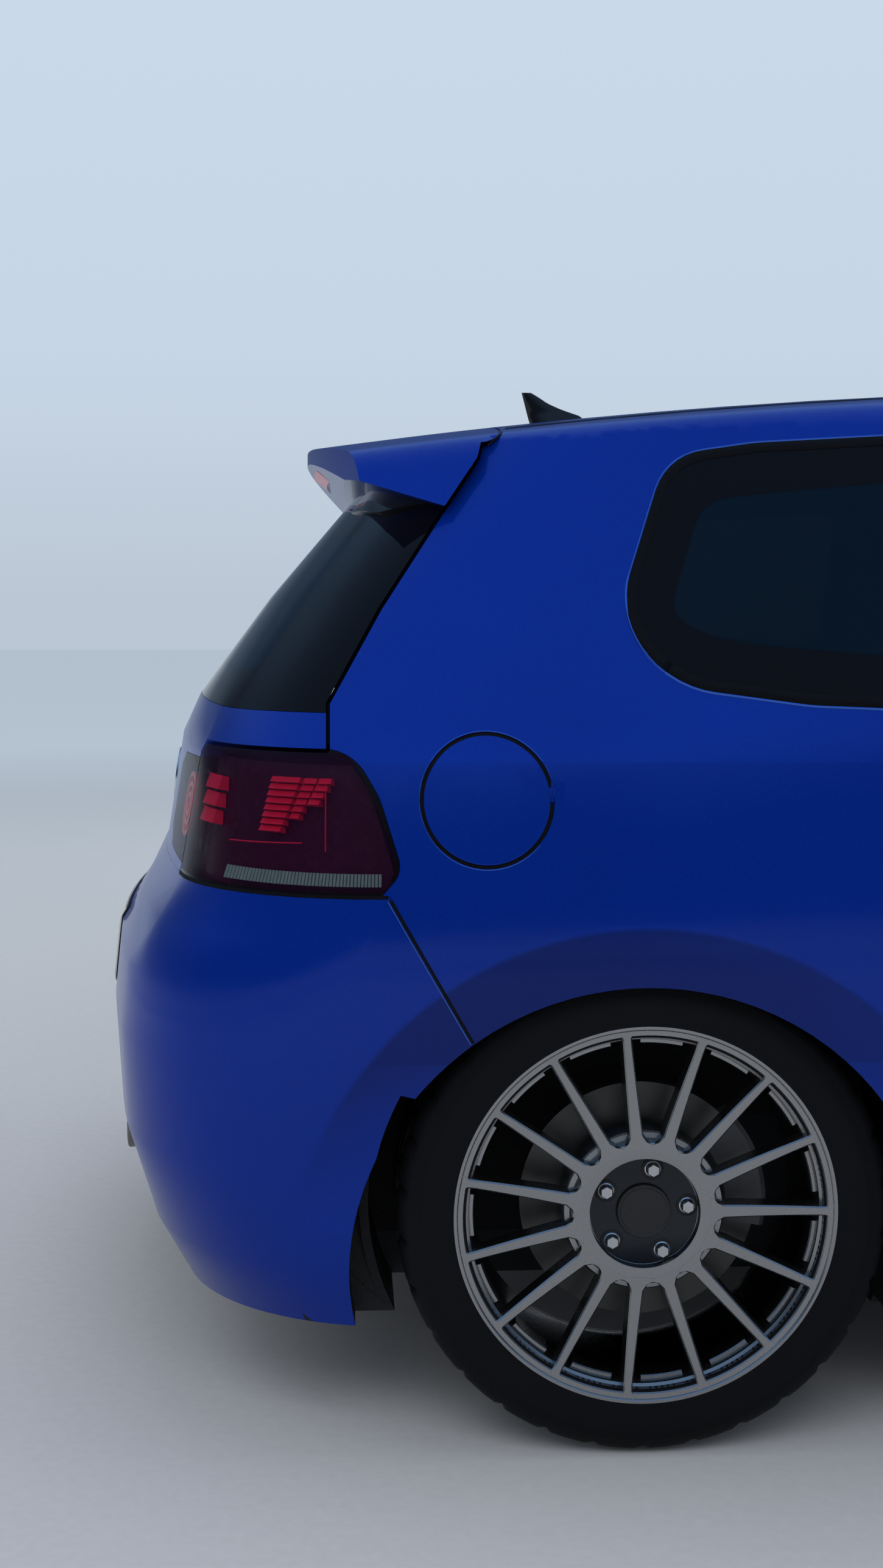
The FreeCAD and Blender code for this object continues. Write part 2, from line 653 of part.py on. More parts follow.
def rear_axle():
    half = REAR_TRACK / 2
    parts = []
    for side in (1, -1):
        arm_y = sorted((side * 520, side * 600))
        parts.append(box(-40, AXLE_ROOM_FRONT - REAR_AXLE_X - SEAM, arm_y[0], arm_y[1], -55, 0))
        carrier_y = sorted((side * 560, side * (half + MOUNT_FACE - HAT_DEPTH - 8)))
        parts.append(box(-CARRIER_HALF, CARRIER_HALF, carrier_y[0], carrier_y[1], -55, CARRIER_TOP))
        parts.append(stub(half, side, 560))
    return box(-60, 40, -562, 562, -45, 35).fuse(parts)


def front_axle():
    """The front subframe: a plate with two legs to the floor and a lower arm to each kingpin."""
    rear = ENGINE_ROOM_X + SEAM - FRONT_AXLE_X
    parts = []
    for side in (1, -1):
        leg_y = sorted((side * 300, side * 400))
        parts.append(box(rear, -160, leg_y[0], leg_y[1], -110, -95))
        arm_y = sorted((side * 400, side * (STEER_AXIS_Y + 18)))
        parts.append(box(-30, 30, arm_y[0], arm_y[1], -110, -86))
    whole = box(-170, 150, -420, 420, -110, -60).fuse(parts)
    for side in (1, -1):
        whole = whole.cut(cylinder_z(0, side * STEER_AXIS_Y, KINGPIN_RADIUS + RUNNING, -130, -60))
    return whole


def knuckle(side):
    """The upright with its kingpin in the lower arm and its stub for the wheel."""
    half = FRONT_TRACK / 2
    ys = sorted((side * (STEER_AXIS_Y - 30), side * (STEER_AXIS_Y + 18)))
    upright = box(-30, 30, ys[0], ys[1], -85.5, 130)
    pin = cylinder_z(0, side * STEER_AXIS_Y, KINGPIN_RADIUS, -108, -60)
    return upright.fuse([pin, stub(half, side, STEER_AXIS_Y - 20)])


def exhaust():
    """Down pipe from the engine, pipe under the floor and silencer across the tail on two hangers."""
    pipe = cylinder_x(0, PIPE_Z, PIPE_RADIUS, SILENCER_X, PIPE_FRONT_X)
    riser = cylinder_z(PIPE_FRONT_X, 0, PIPE_RADIUS, PIPE_Z - PIPE_RADIUS, ENGINE_PIPE_Z + PIPE_RADIUS)
    outlet = cylinder_x(0, ENGINE_PIPE_Z, PIPE_RADIUS, PIPE_FRONT_X, ENGINE_X[0] - SEAM)
    silencer = cylinder_y(SILENCER_X, SILENCER_Z, SILENCER_RADIUS, -SILENCER_HALF, SILENCER_HALF)
    top = SILENCER_ROOM_Z - SEAM
    hangers = [box(SILENCER_X - 15, SILENCER_X + 15, y - 10, y + 10, SILENCER_Z, top) for y in (-200, 200)]
    return pipe.fuse([riser, outlet, silencer] + hangers)


def seat(x, y, width):
    """A plain closed solid for a seat: base, cushion, back and head restraint in one side outline."""
    low = FLOOR_TOP_Z + SEAM
    points = [(x + 250, low), (x + 300, 470), (x + 250, 500), (x - 130, 455), (x - 330, 1010),
              (x - 350, 1150), (x - 440, 1150), (x - 440, 1000), (x - 250, 400), (x - 220, low)]
    return side_prism(points, y - width / 2, y + width / 2, radii=(0, 40, 40, 60, 60, 30, 30, 60, 60, 0))


def save(shape, name):
    """Write the solids of one piece."""
    solids = [solid for solid in shape.Solids if solid.Volume > SLIVER]
    result = solids[0] if len(solids) == 1 else Part.makeCompound(solids)
    result.exportStep("parts/" + name + ".step")


def door(half):
    side = half.common(door_zone(0, DOOR_INNER_Y)).cut(door_hinge_pockets())
    return side.cut(side_prism(DOOR_GLASS_SIDE, 300, 1100, 0, DOOR_GLASS_RADII))


def tailgate_pieces(shell, skin):
    """The tailgate's frame, glass, spoiler and inner lamps."""
    rear = box(-2300, -1450, -1000, 1000, BUMPER_TOP_Z - 20, 1500)
    zone = tailgate_zone(0)
    spoiler_room = spoiler_zone()
    spoiler = roofed(hull(0, -2120), ROOF_EDGE_RADIUS).common(spoiler_room).common(zone)
    spoiler = spoiler.cut(hull(SPOILER_WALL))
    above_base = box(-2300, -1500, -1000, 1000, REAR_GLASS_BASE_Z, 1500)
    glass = skin.common(rear).common(zone).common(above_base).cut(spoiler_room)
    opening = front_prism(TAILGATE_OPENING, -2300, -1500, 0, (60, 60, 60, 60))
    glass_room = box(-2300, -1500, -1000, 1000, REAR_GLASS_BASE_Z - SEAM, 1500).cut(hull(FRAME_BEHIND_GLASS))
    frame = shell.common(rear).common(zone).cut(spoiler_room.cut(hull(SPOILER_WALL + SEAM)))
    frame = frame.cut(glass_room).cut(opening)
    split = box(-2300, -1700, -LAMP_SPLIT_Y, LAMP_SPLIT_Y, 600, 1000)
    lamps = frame.cut(hull(LAMP_DEPTH)).common(tailgate_lamp_zone(-SEAM / 2)).common(split)
    frame = frame.cut(tailgate_lamp_zone(SEAM / 2).cut(hull(LAMP_DEPTH + SEAM)))
    for y in (TAILGATE_HINGE_Y, -TAILGATE_HINGE_Y):
        frame = frame.cut(tailgate_hinge_pocket(y))
        spoiler = spoiler.cut(tailgate_hinge_pocket(y))
    return frame, glass, spoiler, lamps


def tailgate_hinge_pocket(y):
    """Room in the tailgate for a hinge arm through the swing, and a bore for its pin."""
    low = y - TAILGATE_HINGE_WIDTH / 2 - SHUT
    high = y + TAILGATE_HINGE_WIDTH / 2 + SHUT
    centre = (TAILGATE_AXIS_X, TAILGATE_AXIS_Z)
    room = swept_arm(centre, TAILGATE_SWING, TAILGATE_POCKET, TAILGATE_ARM_HALF + SHUT)
    pocket = side_prism(room, low, high).fuse(cylinder_y(*centre, TAILGATE_ARM_HALF + 1 + SHUT, low, high))
    return pocket.fuse(cylinder_y(*centre, TAILGATE_PIN + RUNNING, low - 16, high + 16))


def tailgate_hinges():
    """Hinge arms with pins on a header block under the roof's rear edge."""
    reach = TAILGATE_HINGE_Y + 30
    parts = [box(TAILGATE_AXIS_X + 40, TAILGATE_AXIS_X + 80, -reach, reach, HEADER_LOW_Z, HEADER_TOP_Z + 32)]
    for y in (TAILGATE_HINGE_Y, -TAILGATE_HINGE_Y):
        low = y - TAILGATE_HINGE_WIDTH / 2
        high = y + TAILGATE_HINGE_WIDTH / 2
        behind = TAILGATE_AXIS_X - TAILGATE_ARM_HALF
        ahead = TAILGATE_AXIS_X + TAILGATE_ARM_HALF
        parts.append(box(behind, ahead, low, high, HEADER_TOP_Z - 8, TAILGATE_AXIS_Z))
        parts.append(box(behind, TAILGATE_AXIS_X + 60, low, high, HEADER_LOW_Z, HEADER_TOP_Z))
        parts.append(cylinder_y(TAILGATE_AXIS_X, TAILGATE_AXIS_Z, TAILGATE_ARM_HALF + 1, low, high))
        parts.append(cylinder_y(TAILGATE_AXIS_X, TAILGATE_AXIS_Z, TAILGATE_PIN, low - 15, high + 15))
    return parts[0].fuse(parts[1:])


def screen_prism(grow):
    return front_prism(SCREEN_FRONT, -400, 1400, grow, SCREEN_RADII)


def bonnet_arms():
    """Hinge arms under the bonnet's rear corners, bored for the pins."""
    arms = []
    for side in (1, -1):
        ys = sorted((side * (BONNET_HINGE_Y + 6), side * (BONNET_HINGE_Y + 18)))
        arm = box(BONNET_AXIS_X, BONNET_AXIS_X + 140, ys[0], ys[1], BONNET_AXIS_Z - 9, BONNET_AXIS_Z + 9)
        foot = box(BONNET_AXIS_X + 104, BONNET_AXIS_X + 140, ys[0], ys[1], BONNET_AXIS_Z, BONNET_AXIS_Z + 20)
        arm = arm.fuse([cylinder_y(BONNET_AXIS_X, BONNET_AXIS_Z, 9, ys[0], ys[1]), foot])
        arms.append(arm.cut(cylinder_y(BONNET_AXIS_X, BONNET_AXIS_Z, BONNET_PIN + RUNNING, -1000, 1000)))
    return arms


def bonnet_brackets():
    """Brackets on the bulkhead that hold the bonnet's hinge pins."""
    parts = []
    for side in (1, -1):
        ys = sorted((side * (BONNET_HINGE_Y - 8), side * (BONNET_HINGE_Y + 4)))
        top = BONNET_AXIS_Z + 9
        parts.append(box(ENGINE_ROOM_X - 5, BONNET_AXIS_X + 9, ys[0], ys[1], BONNET_AXIS_Z - 32, top))
        pin_y = sorted((side * BONNET_HINGE_Y, side * (BONNET_HINGE_Y + 22)))
        parts.append(cylinder_y(BONNET_AXIS_X, BONNET_AXIS_Z, BONNET_PIN, pin_y[0], pin_y[1]))
    return parts


def bonnet_arm_slots():
    """Slots below the windscreen through which the hinge arms rise."""
    slots = []
    for side in (1, -1):
        ys = sorted((side * (BONNET_HINGE_Y - 1), side * (BONNET_HINGE_Y + 25)))
        low, high = BONNET_AXIS_Z - 40, BONNET_AXIS_Z + 70
        slots.append(box(ENGINE_ROOM_X + 6, BONNET_AXIS_X + 140, ys[0], ys[1], low, high))
    return slots


def dashboard():
    """Dashboard with the steering column and wheel, on the left."""
    back = FIREWALL_X - SEAM
    profile = ((back, 640), (back, 905), (560, 925), (380, 900), (300, 850), (310, 760), (400, 640))
    board = side_prism(profile, -700, 700, radii=(0, 20, 60, 60, 30, 40, 20))
    section = ((-9, 168), (9, 168), (15, 180), (9, 192), (-9, 192), (-15, 180), (-9, 168))
    ring = Part.Face(Part.makePolygon([Vector(x, 0, r) for x, r in section]))
    ring = ring.revolve(Vector(0, 0, 0), Vector(1, 0, 0), 360)
    boss = cylinder_x(0, 0, 48, -12, 30)
    column = cylinder_x(0, 0, 26, 20, 200)
    wheel = ring.fuse([boss, column, box(-8, 8, -175, 175, -14, 14), box(-8, 8, -14, 14, -175, 0)])
    wheel.rotate(Vector(0, 0, 0), Vector(0, 1, 0), 22)
    wheel.translate(Vector(175, 370, 850))
    return board.fuse(wheel)


def rear_seat():
    low = FLOOR_TOP_Z + SEAM
    step = AXLE_ROOM_Z + FLOOR_SHEET + SEAM
    front = AXLE_ROOM_FRONT + FLOOR_SHEET + SEAM
    points = ((-760, low), (-740, 480), (-790, 520), (-1130, 480), (-1290, 930), (-1300, 1060),
              (-1380, 1060), (-1390, 900), (-1270, 420), (-1270, step), (front, step), (front, low))
    return side_prism(points, -590, 590, radii=(0, 40, 40, 60, 40, 25, 25, 60, 20, 0, 0, 0))


def mirror():
    """Door mirror on its foot below the front of the window, left side."""
    head = plan_prism(((455, 872), (530, 878), (556, 940), (528, 1022), (450, 1026), (432, 950)), 930, 1072)
    head = head.makeChamfer(18, [e for e in head.Edges if e.BoundBox.ZLength < 1])
    foot = plan_prism(((470, 830), (540, 830), (530, 905), (480, 905)), 906, 946)
    return head.fuse(foot)


def antenna():
    fin = side_prism(((-1325, 1370), (-1343, 1402), (-1448, 1438), (-1436, 1389), (-1430, 1360)), -12, 12)
    return fin.common(above_roof(-SEAM))


def flap_hinge(skin):
    """The fuel flap with its barrel, the pocket it closes and the pin across the pocket's front edge."""
    x, z = FLAP_CENTRE
    disc_skin = skin.common(flap_disc(FLAP_RADIUS))
    probe = Part.makeLine(Vector(FLAP_AXIS_X, -1000, z), Vector(FLAP_AXIS_X, -500, z)).common(skin)
    axis_y = min(vertex.Y for vertex in probe.Vertexes) + FLAP_DEPTH
    barrel = cylinder_z(FLAP_AXIS_X, axis_y, FLAP_BARREL, z - 16, z + 16)
    tongue = box(FLAP_AXIS_X - 22, FLAP_AXIS_X, axis_y - 0.5, axis_y + 3, z - 16, z + 16)
    bore = cylinder_z(FLAP_AXIS_X, axis_y, FLAP_PIN + RUNNING, z - 40, z + 40)
    flap = disc_skin.fuse([barrel, tongue]).cut(bore)
    low, high = z - FLAP_NOTCH_LOW, z + FLAP_NOTCH_HIGH
    notch = box(FLAP_AXIS_X - 20, FLAP_AXIS_X + FLAP_NOTCH_FRONT, -1000, axis_y + 12, low, high)
    deep = box(x - 200, x + 200, axis_y - 60, axis_y + FLAP_POCKET, z - 200, z + 200)
    pocket = flap_disc(FLAP_RADIUS + SHUT).common(deep)
    pin = cylinder_z(FLAP_AXIS_X, axis_y, FLAP_PIN, low - 2, high + 2)
    return flap, pocket.fuse(notch), pin


def main():
    os.makedirs("parts", exist_ok=True)
    outer = roofed(hull(0), ROOF_EDGE_RADIUS).cut(before_screen().common(above_bonnet()))
    cabin = inner_hull(None).cut(above_roof(ROOF_WALL)).cut(before_screen(ROOF_WALL))
    cabin = cabin.common(box(-2300, FIREWALL_X, -1000, 1000, FLOOR_TOP_Z, 1500))
    axle_room = box(AXLE_ROOM_REAR, AXLE_ROOM_FRONT, -AXLE_ROOM_HALF, AXLE_ROOM_HALF, 0, AXLE_ROOM_Z)
    tunnel_half = CARRIER_HALF + CARRIER_ROOM
    reach = REAR_WELL_Y + 9
    tunnel = box(REAR_AXLE_X - tunnel_half, REAR_AXLE_X + tunnel_half, -reach, reach, 0, AXLE_ROOM_Z)
    axle_room = axle_room.fuse(tunnel)
    silencer_room = box(-2300, SILENCER_ROOM_X, -SILENCER_ROOM_HALF, SILENCER_ROOM_HALF, 0, SILENCER_ROOM_Z)
    axle_cover = box(AXLE_ROOM_REAR - FLOOR_SHEET, AXLE_ROOM_FRONT + FLOOR_SHEET, -1000, 1000, 0,
                     AXLE_ROOM_Z + FLOOR_SHEET)
    silencer_cover = box(-2300, SILENCER_ROOM_X + FLOOR_SHEET, -1000, 1000, 0, SILENCER_ROOM_Z + FLOOR_SHEET)
    cabin = cabin.cut([axle_cover, silencer_cover])
    bumper_inside = inner_hull(BUMPER_WALL)
    engine_room = bumper_inside.cut(above_bonnet(BONNET_WALL))
    engine_room = engine_room.common(box(ENGINE_ROOM_X, 2300, -1000, 1000, UNDERBODY_Z - 50, 1300))
    skin = outer.cut(hull(GLASS))
    shell = outer.cut([cabin, engine_room, axle_room, silencer_room.common(inner_hull(80))])
    for arch, well in ((REAR_ARCH, REAR_WELL_Y), (FRONT_ARCH, FRONT_WELL_Y)):
        shell = shell.cut(both_sides(arch_cut(arch, well)))
    half = shell.common(box(-3000, 3000, SEAM / 2, 1200, 0, 1700))

    # Doors
    left_door = door(half)
    pane = skin.common(side_prism(DOOR_GLASS_SIDE, 300, 1100, -SEAM, DOOR_GLASS_RADII))
    for name, shape in (("door", left_door), ("door_glass", pane), ("mirror", mirror().cut(hull(-SEAM)))):
        save(shape, name + "_left")
        save(mirrored(shape), name + "_right")

    # Tailgate
    frame, glass, spoiler, gate_lamps = tailgate_pieces(shell, skin)
    save(frame, "tailgate")
    save(glass, "tailgate_glass")
    save(spoiler, "roof_spoiler")
    save(gate_lamps, "tailgate_lamps")

    # Bonnet, windscreen and roof
    bonnet_room = bonnet_zone(SHUT, 0).common(above_bonnet(BONNET_WALL + SHUT))
    bonnet = outer.common(above_bonnet(BONNET_WALL)).common(bonnet_zone(0, -BONNET_TO_SCREEN))
    save(bonnet.fuse(bonnet_arms()), "bonnet")
    save(outer.common(before_screen(GLASS).common(screen_prism(-SEAM))), "windscreen")
    screen_room = before_screen(ROOF_WALL + 20).common(screen_prism(0))
    roof_room = box(-1700, 400, -ROOF_HALF_WIDTH, ROOF_HALF_WIDTH, 1230, 1500)
    tailgate_room = tailgate_zone(SHUT)
    roof = shell.common(roof_room).cut(tailgate_room).cut(screen_room)
    save(roof.fuse(tailgate_hinges()), "roof_panel")

    # Floor and bulkhead
    inside = inner_hull(80 + SEAM)
    floor_room = box(-2300, ENGINE_ROOM_X, -FLOOR_HALF_WIDTH, FLOOR_HALF_WIDTH, 0, FLOOR_TOP_Z)
    axle_half = AXLE_ROOM_HALF + 14
    silencer_half = SILENCER_ROOM_HALF + 20
    over_axle = axle_cover.common(box(-3000, 0, -axle_half, axle_half, 0, 900))
    over_silencer = silencer_cover.common(box(-3000, 0, -silencer_half, silencer_half, 0, 900))
    floor_room = floor_room.fuse([over_axle, over_silencer])
    save(shell.common(floor_room).common(inside), "floor_pan")
    wide = BULKHEAD_HALF_WIDTH
    bulkhead_room = box(FIREWALL_X, ENGINE_ROOM_X, -wide, wide, FLOOR_TOP_Z + SEAM, 1100)
    bulkhead_room = bulkhead_room.fuse(box(ENGINE_ROOM_X - 10, 930, -wide, wide, 860, 1100))
    bulkhead = shell.common(bulkhead_room).cut([bonnet_room, screen_room])
    cowl = above_bonnet(COWL_DEPTH + COWL_SHEET).cut(above_bonnet(COWL_DEPTH))
    cowl_half = BONNET_HINGE_Y - 20
    cowl = cowl.common(box(ENGINE_ROOM_X - 5, COWL_FRONT_X, -cowl_half, cowl_half, 800, 1000))
    save(bulkhead.fuse(cowl).cut(bonnet_arm_slots()).fuse(bonnet_brackets()), "bulkhead")

    # Bumpers, lamps and grilles
    rear_region = outer.cut(bumper_inside).common(side_prism(REAR_BUMPER_SIDE, -1100, 1100, -SEAM / 2))
    rear_region = rear_region.cut(both_sides(arch_cut(REAR_ARCH, REAR_WELL_Y)))
    save(rear_region.cut(diffuser_zone(SEAM / 2)), "rear_bumper")
    save(rear_region.common(diffuser_zone(-SEAM / 2)), "rear_diffuser")
    nose = shell.common(side_prism(FRONT_BUMPER_SIDE, -1100, 1100, -SEAM / 2))
    set_back = inner_hull(25)
    save(nose.cut(lower_grille_zone(SEAM / 2)), "front_bumper")
    front = shell.common(box(1500, 2300, -1000, 1000, 560, 900)).cut(bonnet_room)
    save(front.common(head_lamp_zone(-SEAM / 2)), "head_lamps")
    upper = front.common(upper_grille_zone(-SEAM / 2)).common(set_back)
    lower = nose.common(lower_grille_zone(-SEAM / 2)).common(set_back)
    save(Part.makeCompound([upper, lower]), "front_grille")

    # Left half of the fixed body, with what has been taken out of it
    half = half.cut([door_zone(SHUT, 300), tailgate_room, bonnet_room, screen_room])
    bumper_room = side_prism(REAR_BUMPER_SIDE, -1100, 1100, SEAM / 2).cut(inner_hull(BUMPER_WALL + SEAM))
    half = half.cut(bumper_room)
    half = half.cut(side_prism(FRONT_BUMPER_SIDE, -1100, 1100, SEAM / 2))
    tail_lamp = half.common(tail_lamp_zone(-SEAM / 2)).cut(inner_hull(LAMP_DEPTH))
    save(tail_lamp.fuse(mirrored(tail_lamp)), "tail_lamps")
    half = half.cut(tail_lamp_zone(SEAM / 2).cut(inner_hull(LAMP_DEPTH + SEAM)))
    half = half.cut([head_lamp_zone(SEAM / 2), upper_grille_zone(SEAM / 2)])
    quarter_pane = skin.common(side_prism(QUARTER_GLASS_SIDE, 300, 1100, -SEAM, QUARTER_GLASS_RADII))
    save(quarter_pane.fuse(mirrored(quarter_pane)), "quarter_windows")
    half = half.cut(side_prism(QUARTER_GLASS_SIDE, 300, 1100, 0, QUARTER_GLASS_RADII))
    half = half.cut(box(-1700, 400, 0, ROOF_HALF_WIDTH + SEAM, 1230, 1500))
    foot = box(FIREWALL_X - 1, ENGINE_ROOM_X + 1, 0, wide + SEAM, FLOOR_TOP_Z, 1100)
    half = half.cut([bulkhead_room, foot])
    half = half.cut(box(ENGINE_ROOM_X - 10, 930, 0, wide + SEAM, 850, 1100))
    flat_floor = box(-2300, ENGINE_ROOM_X + 1, 0, FLOOR_HALF_WIDTH + SEAM, 0, FLOOR_TOP_Z + SEAM)
    floor_cut = floor_room.fuse(flat_floor).common(inner_hull(80))
    half = half.cut(floor_cut)
    wing_room = box(660, 1760, 300, 1100, 0, PILLAR_BASE_Z)
    wing = half.common(wing_room).cut(inner_hull(WING_WALL))
    save(wing, "wing_left")
    save(mirrored(wing), "wing_right")
    rear_liner = arch_liner(REAR_ARCH, REAR_WELL_Y, 840, UNDERBODY_Z)
    rear_liner = rear_liner.cut([floor_cut, bumper_room, axle_room])
    front_liner = arch_liner(FRONT_ARCH, FRONT_WELL_Y, 835, UNDERBODY_Z + 60).cut(floor_cut)
    half = half.fuse([rear_liner, front_liner, hinge_post()])
    wing_cut = box(660, 1760 + SEAM, 300, 1100, 0, PILLAR_BASE_Z + SEAM).cut(inner_hull(WING_WALL + SEAM))
    half = half.cut([wing_cut, side_prism(FRONT_BUMPER_SIDE, 0, 1100, SEAM / 2)])
    save(half, "body_side_left")
    flap, pocket, pin = flap_hinge(skin)
    save(mirrored(half).cut(pocket).fuse(pin), "body_side_right")
    save(flap, "fuel_flap")

    # Inside, engine, exhaust and running gear
    save(dashboard(), "dashboard")
    save(Part.makeCompound([seat(-60, y, 500) for y in (370, -370)]), "front_seats")
    save(rear_seat(), "rear_seat")
    save(antenna(), "antenna")
    engine = box(*ENGINE_X, -ENGINE_HALF_WIDTH, ENGINE_HALF_WIDTH, TYRE_RADIUS - 60 + SEAM, ENGINE_TOP_Z)
    save(engine, "engine_block")
    save(exhaust(), "exhaust")
    for name, axle_x, track in (("front", FRONT_AXLE_X, FRONT_TRACK), ("rear", REAR_AXLE_X, REAR_TRACK)):
        for side_name, side in (("left", 1), ("right", -1)):
            save(placed(rim(track / 2, side), axle_x), "rim_" + name + "_" + side_name)
            save(placed(tyre(track / 2, side), axle_x), "tyre_" + name + "_" + side_name)
            save(placed(disc(track / 2, side), axle_x), "disc_" + name + "_" + side_name)
    save(placed(rear_axle(), REAR_AXLE_X), "rear_axle")
    save(placed(front_axle(), FRONT_AXLE_X), "front_axle")
    save(placed(knuckle(1), FRONT_AXLE_X), "knuckle_left")
    save(placed(knuckle(-1), FRONT_AXLE_X), "knuckle_right")


main()
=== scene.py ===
import math

import bmesh
import bpy
import numpy as np
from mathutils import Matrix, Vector


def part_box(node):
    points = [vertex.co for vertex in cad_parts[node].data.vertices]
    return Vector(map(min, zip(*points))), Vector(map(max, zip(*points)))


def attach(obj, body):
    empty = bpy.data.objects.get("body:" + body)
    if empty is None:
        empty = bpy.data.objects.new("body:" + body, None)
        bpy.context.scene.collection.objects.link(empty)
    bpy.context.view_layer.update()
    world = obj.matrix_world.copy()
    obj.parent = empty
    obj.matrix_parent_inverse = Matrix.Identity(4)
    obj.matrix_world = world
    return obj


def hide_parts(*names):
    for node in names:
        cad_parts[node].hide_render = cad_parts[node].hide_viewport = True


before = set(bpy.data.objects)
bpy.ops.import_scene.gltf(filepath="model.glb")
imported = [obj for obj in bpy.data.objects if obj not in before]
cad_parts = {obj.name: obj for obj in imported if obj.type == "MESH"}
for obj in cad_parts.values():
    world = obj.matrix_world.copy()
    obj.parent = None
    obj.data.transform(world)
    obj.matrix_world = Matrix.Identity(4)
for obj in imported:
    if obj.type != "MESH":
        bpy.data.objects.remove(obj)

scene = bpy.context.scene
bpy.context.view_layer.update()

# Sizes that the looks share with the solids, in metres and degrees
SIDES = (("left", 1), ("right", -1))
AXLES = {"front": 1.214, "rear": -1.364}
HALF_TRACK = 0.757
AXLE_Z = 0.318
HUB_FACE = 0.095
SPOKES = 15
SPOKE_TURN = -6.6
BOLTS = 5
BOLT_TURN = 11.0
BOLT_CIRCLE = 0.056

# Plan outlines of the body: z, rear x, rear radius, rear corner, half width,
# side radius, side x, front corner, front radius, front x
ROWS = [
    (0.165, -2.010, 3.6, 0.300, 0.846, 60, -0.10, 0.420, 2.6, 2.010),
    (0.250, -2.056, 3.6, 0.300, 0.868, 70, -0.10, 0.430, 2.6, 2.075),
    (0.380, -2.096, 3.6, 0.300, 0.884, 80, -0.10, 0.440, 2.6, 2.100),
    (0.520, -2.104, 3.6, 0.300, 0.893, 90, -0.08, 0.450, 2.6, 2.106),
    (0.610, -2.094, 3.6, 0.300, 0.893, 90, -0.08, 0.460, 2.6, 2.090),
    (0.670, -2.056, 3.4, 0.290, 0.891, 85, -0.08, 0.470, 2.6, 2.060),
    (0.735, -2.025, 3.2, 0.280, 0.885, 65, -0.10, 0.480, 2.6, 2.030),
    (0.893, -2.000, 3.0, 0.270, 0.862, 28, -0.20, 0.480, 2.6, 1.996),
    (0.950, -1.974, 2.8, 0.260, 0.842, 18, -0.25, 0.480, 2.6, 1.980),
    (1.100, -1.862, 2.6, 0.250, 0.776, 14, -0.30, 0.450, 2.6, 1.950),
    (1.440, -1.570, 2.2, 0.220, 0.582, 11, -0.40, 0.400, 2.6, 1.850),
]
ARC_STEPS = (8, 14, 26, 14, 8)


# Body outline
def steps(count):
    """Shares from 0 to 1 in equal steps."""
    return [k / count for k in range(count + 1)]


def between(a, b, t):
    return a + (b - a) * t


def spread(a, b, count):
    """Numbers from a to b in equal steps."""
    return [between(a, b, t) for t in steps(count)]


def corner_centre(end_x, end_r, side_x, side_y, side_r, r, sign):
    """The middle of the corner arc that touches both the end arc and the side arc."""
    a, b = end_r - r, side_r - r
    dx, dy = side_x - end_x, side_y
    d = math.hypot(dx, dy)
    t = (a * a - b * b + d * d) / (2 * d)
    h = math.sqrt(a * a - t * t)
    px, py = end_x + dx * t / d, dy * t / d
    found = [(px - dy * h / d, py + dx * h / d), (px + dy * h / d, py - dx * h / d)]
    return [c for c in found if (c[0] - side_x) * sign > 0][0]


def beyond(start, centre, r):
    """The point that lies r past the centre, as seen from the start."""
    d = math.dist(start, centre)
    return tuple(c + (c - s) * r / d for s, c in zip(start, centre))


def arc_points(centre, start, end, count):
    """Points along an arc, without its end."""
    a0 = math.atan2(start[1] - centre[1], start[0] - centre[0])
    a1 = math.atan2(end[1] - centre[1], end[0] - centre[0])
    turn = (a1 - a0 + math.pi) % (2 * math.pi) - math.pi
    r = math.dist(start, centre)
    angles = [a0 + turn * i / count for i in range(count)]
    return [(centre[0] + r * math.cos(a), centre[1] + r * math.sin(a)) for a in angles]


def half_outline(row):
    """The left half of one outline, from the middle of the tail to the middle of the nose."""
    end_x, end_r, end_c, half, side_r, side_x, nose_c, nose_r, nose_x = row[1:]
    end, nose, side = (end_x + end_r, 0.0), (nose_x - nose_r, 0.0), (side_x, half - side_r)
    rear = corner_centre(end[0], end_r, side_x, side[1], side_r, end_c, -1)
    front = corner_centre(nose[0], nose_r, side_x, side[1], side_r, nose_c, 1)
    a, b = beyond(end, rear, end_c), beyond(side, rear, end_c)
    c, d = beyond(side, front, nose_c), beyond(nose, front, nose_c)
    tail_middle, nose_middle = (end_x, 0.0), (nose_x, 0.0)
    arcs = ((end, tail_middle, a), (rear, a, b), (side, b, c), (front, c, d), (nose, d, nose_middle))
    points = []
    for arc, count in zip(arcs, ARC_STEPS):
        points += arc_points(*arc, count)
    return points + [nose_middle]


HULL = np.array([half_outline(row) for row in ROWS])
HEIGHTS = np.array([row[0] for row in ROWS])


def storey(z):
    """The number of the row below height z, and the share of the way up to the next."""
    k = int(np.clip(np.searchsorted(HEIGHTS, z) - 1, 0, len(HEIGHTS) - 2))
    return k, (z - HEIGHTS[k]) / (HEIGHTS[k + 1] - HEIGHTS[k])


def level(z):
    """The left half outline at height z."""
    k, t = storey(z)
    return HULL[k] * (1 - t) + HULL[k + 1] * t


def place_of_x(x, z):
    return float(np.interp(x, level(z)[:, 0], np.arange(len(HULL[0]))))


def place_of_y(y, z, front=False):
    line = level(z)[:, 1]
    widest = int(np.argmax(line))
    if front:
        return float(np.interp(-y, -line[widest:], np.arange(widest, len(line))))
    return float(np.interp(y, line[:widest], np.arange(widest)))


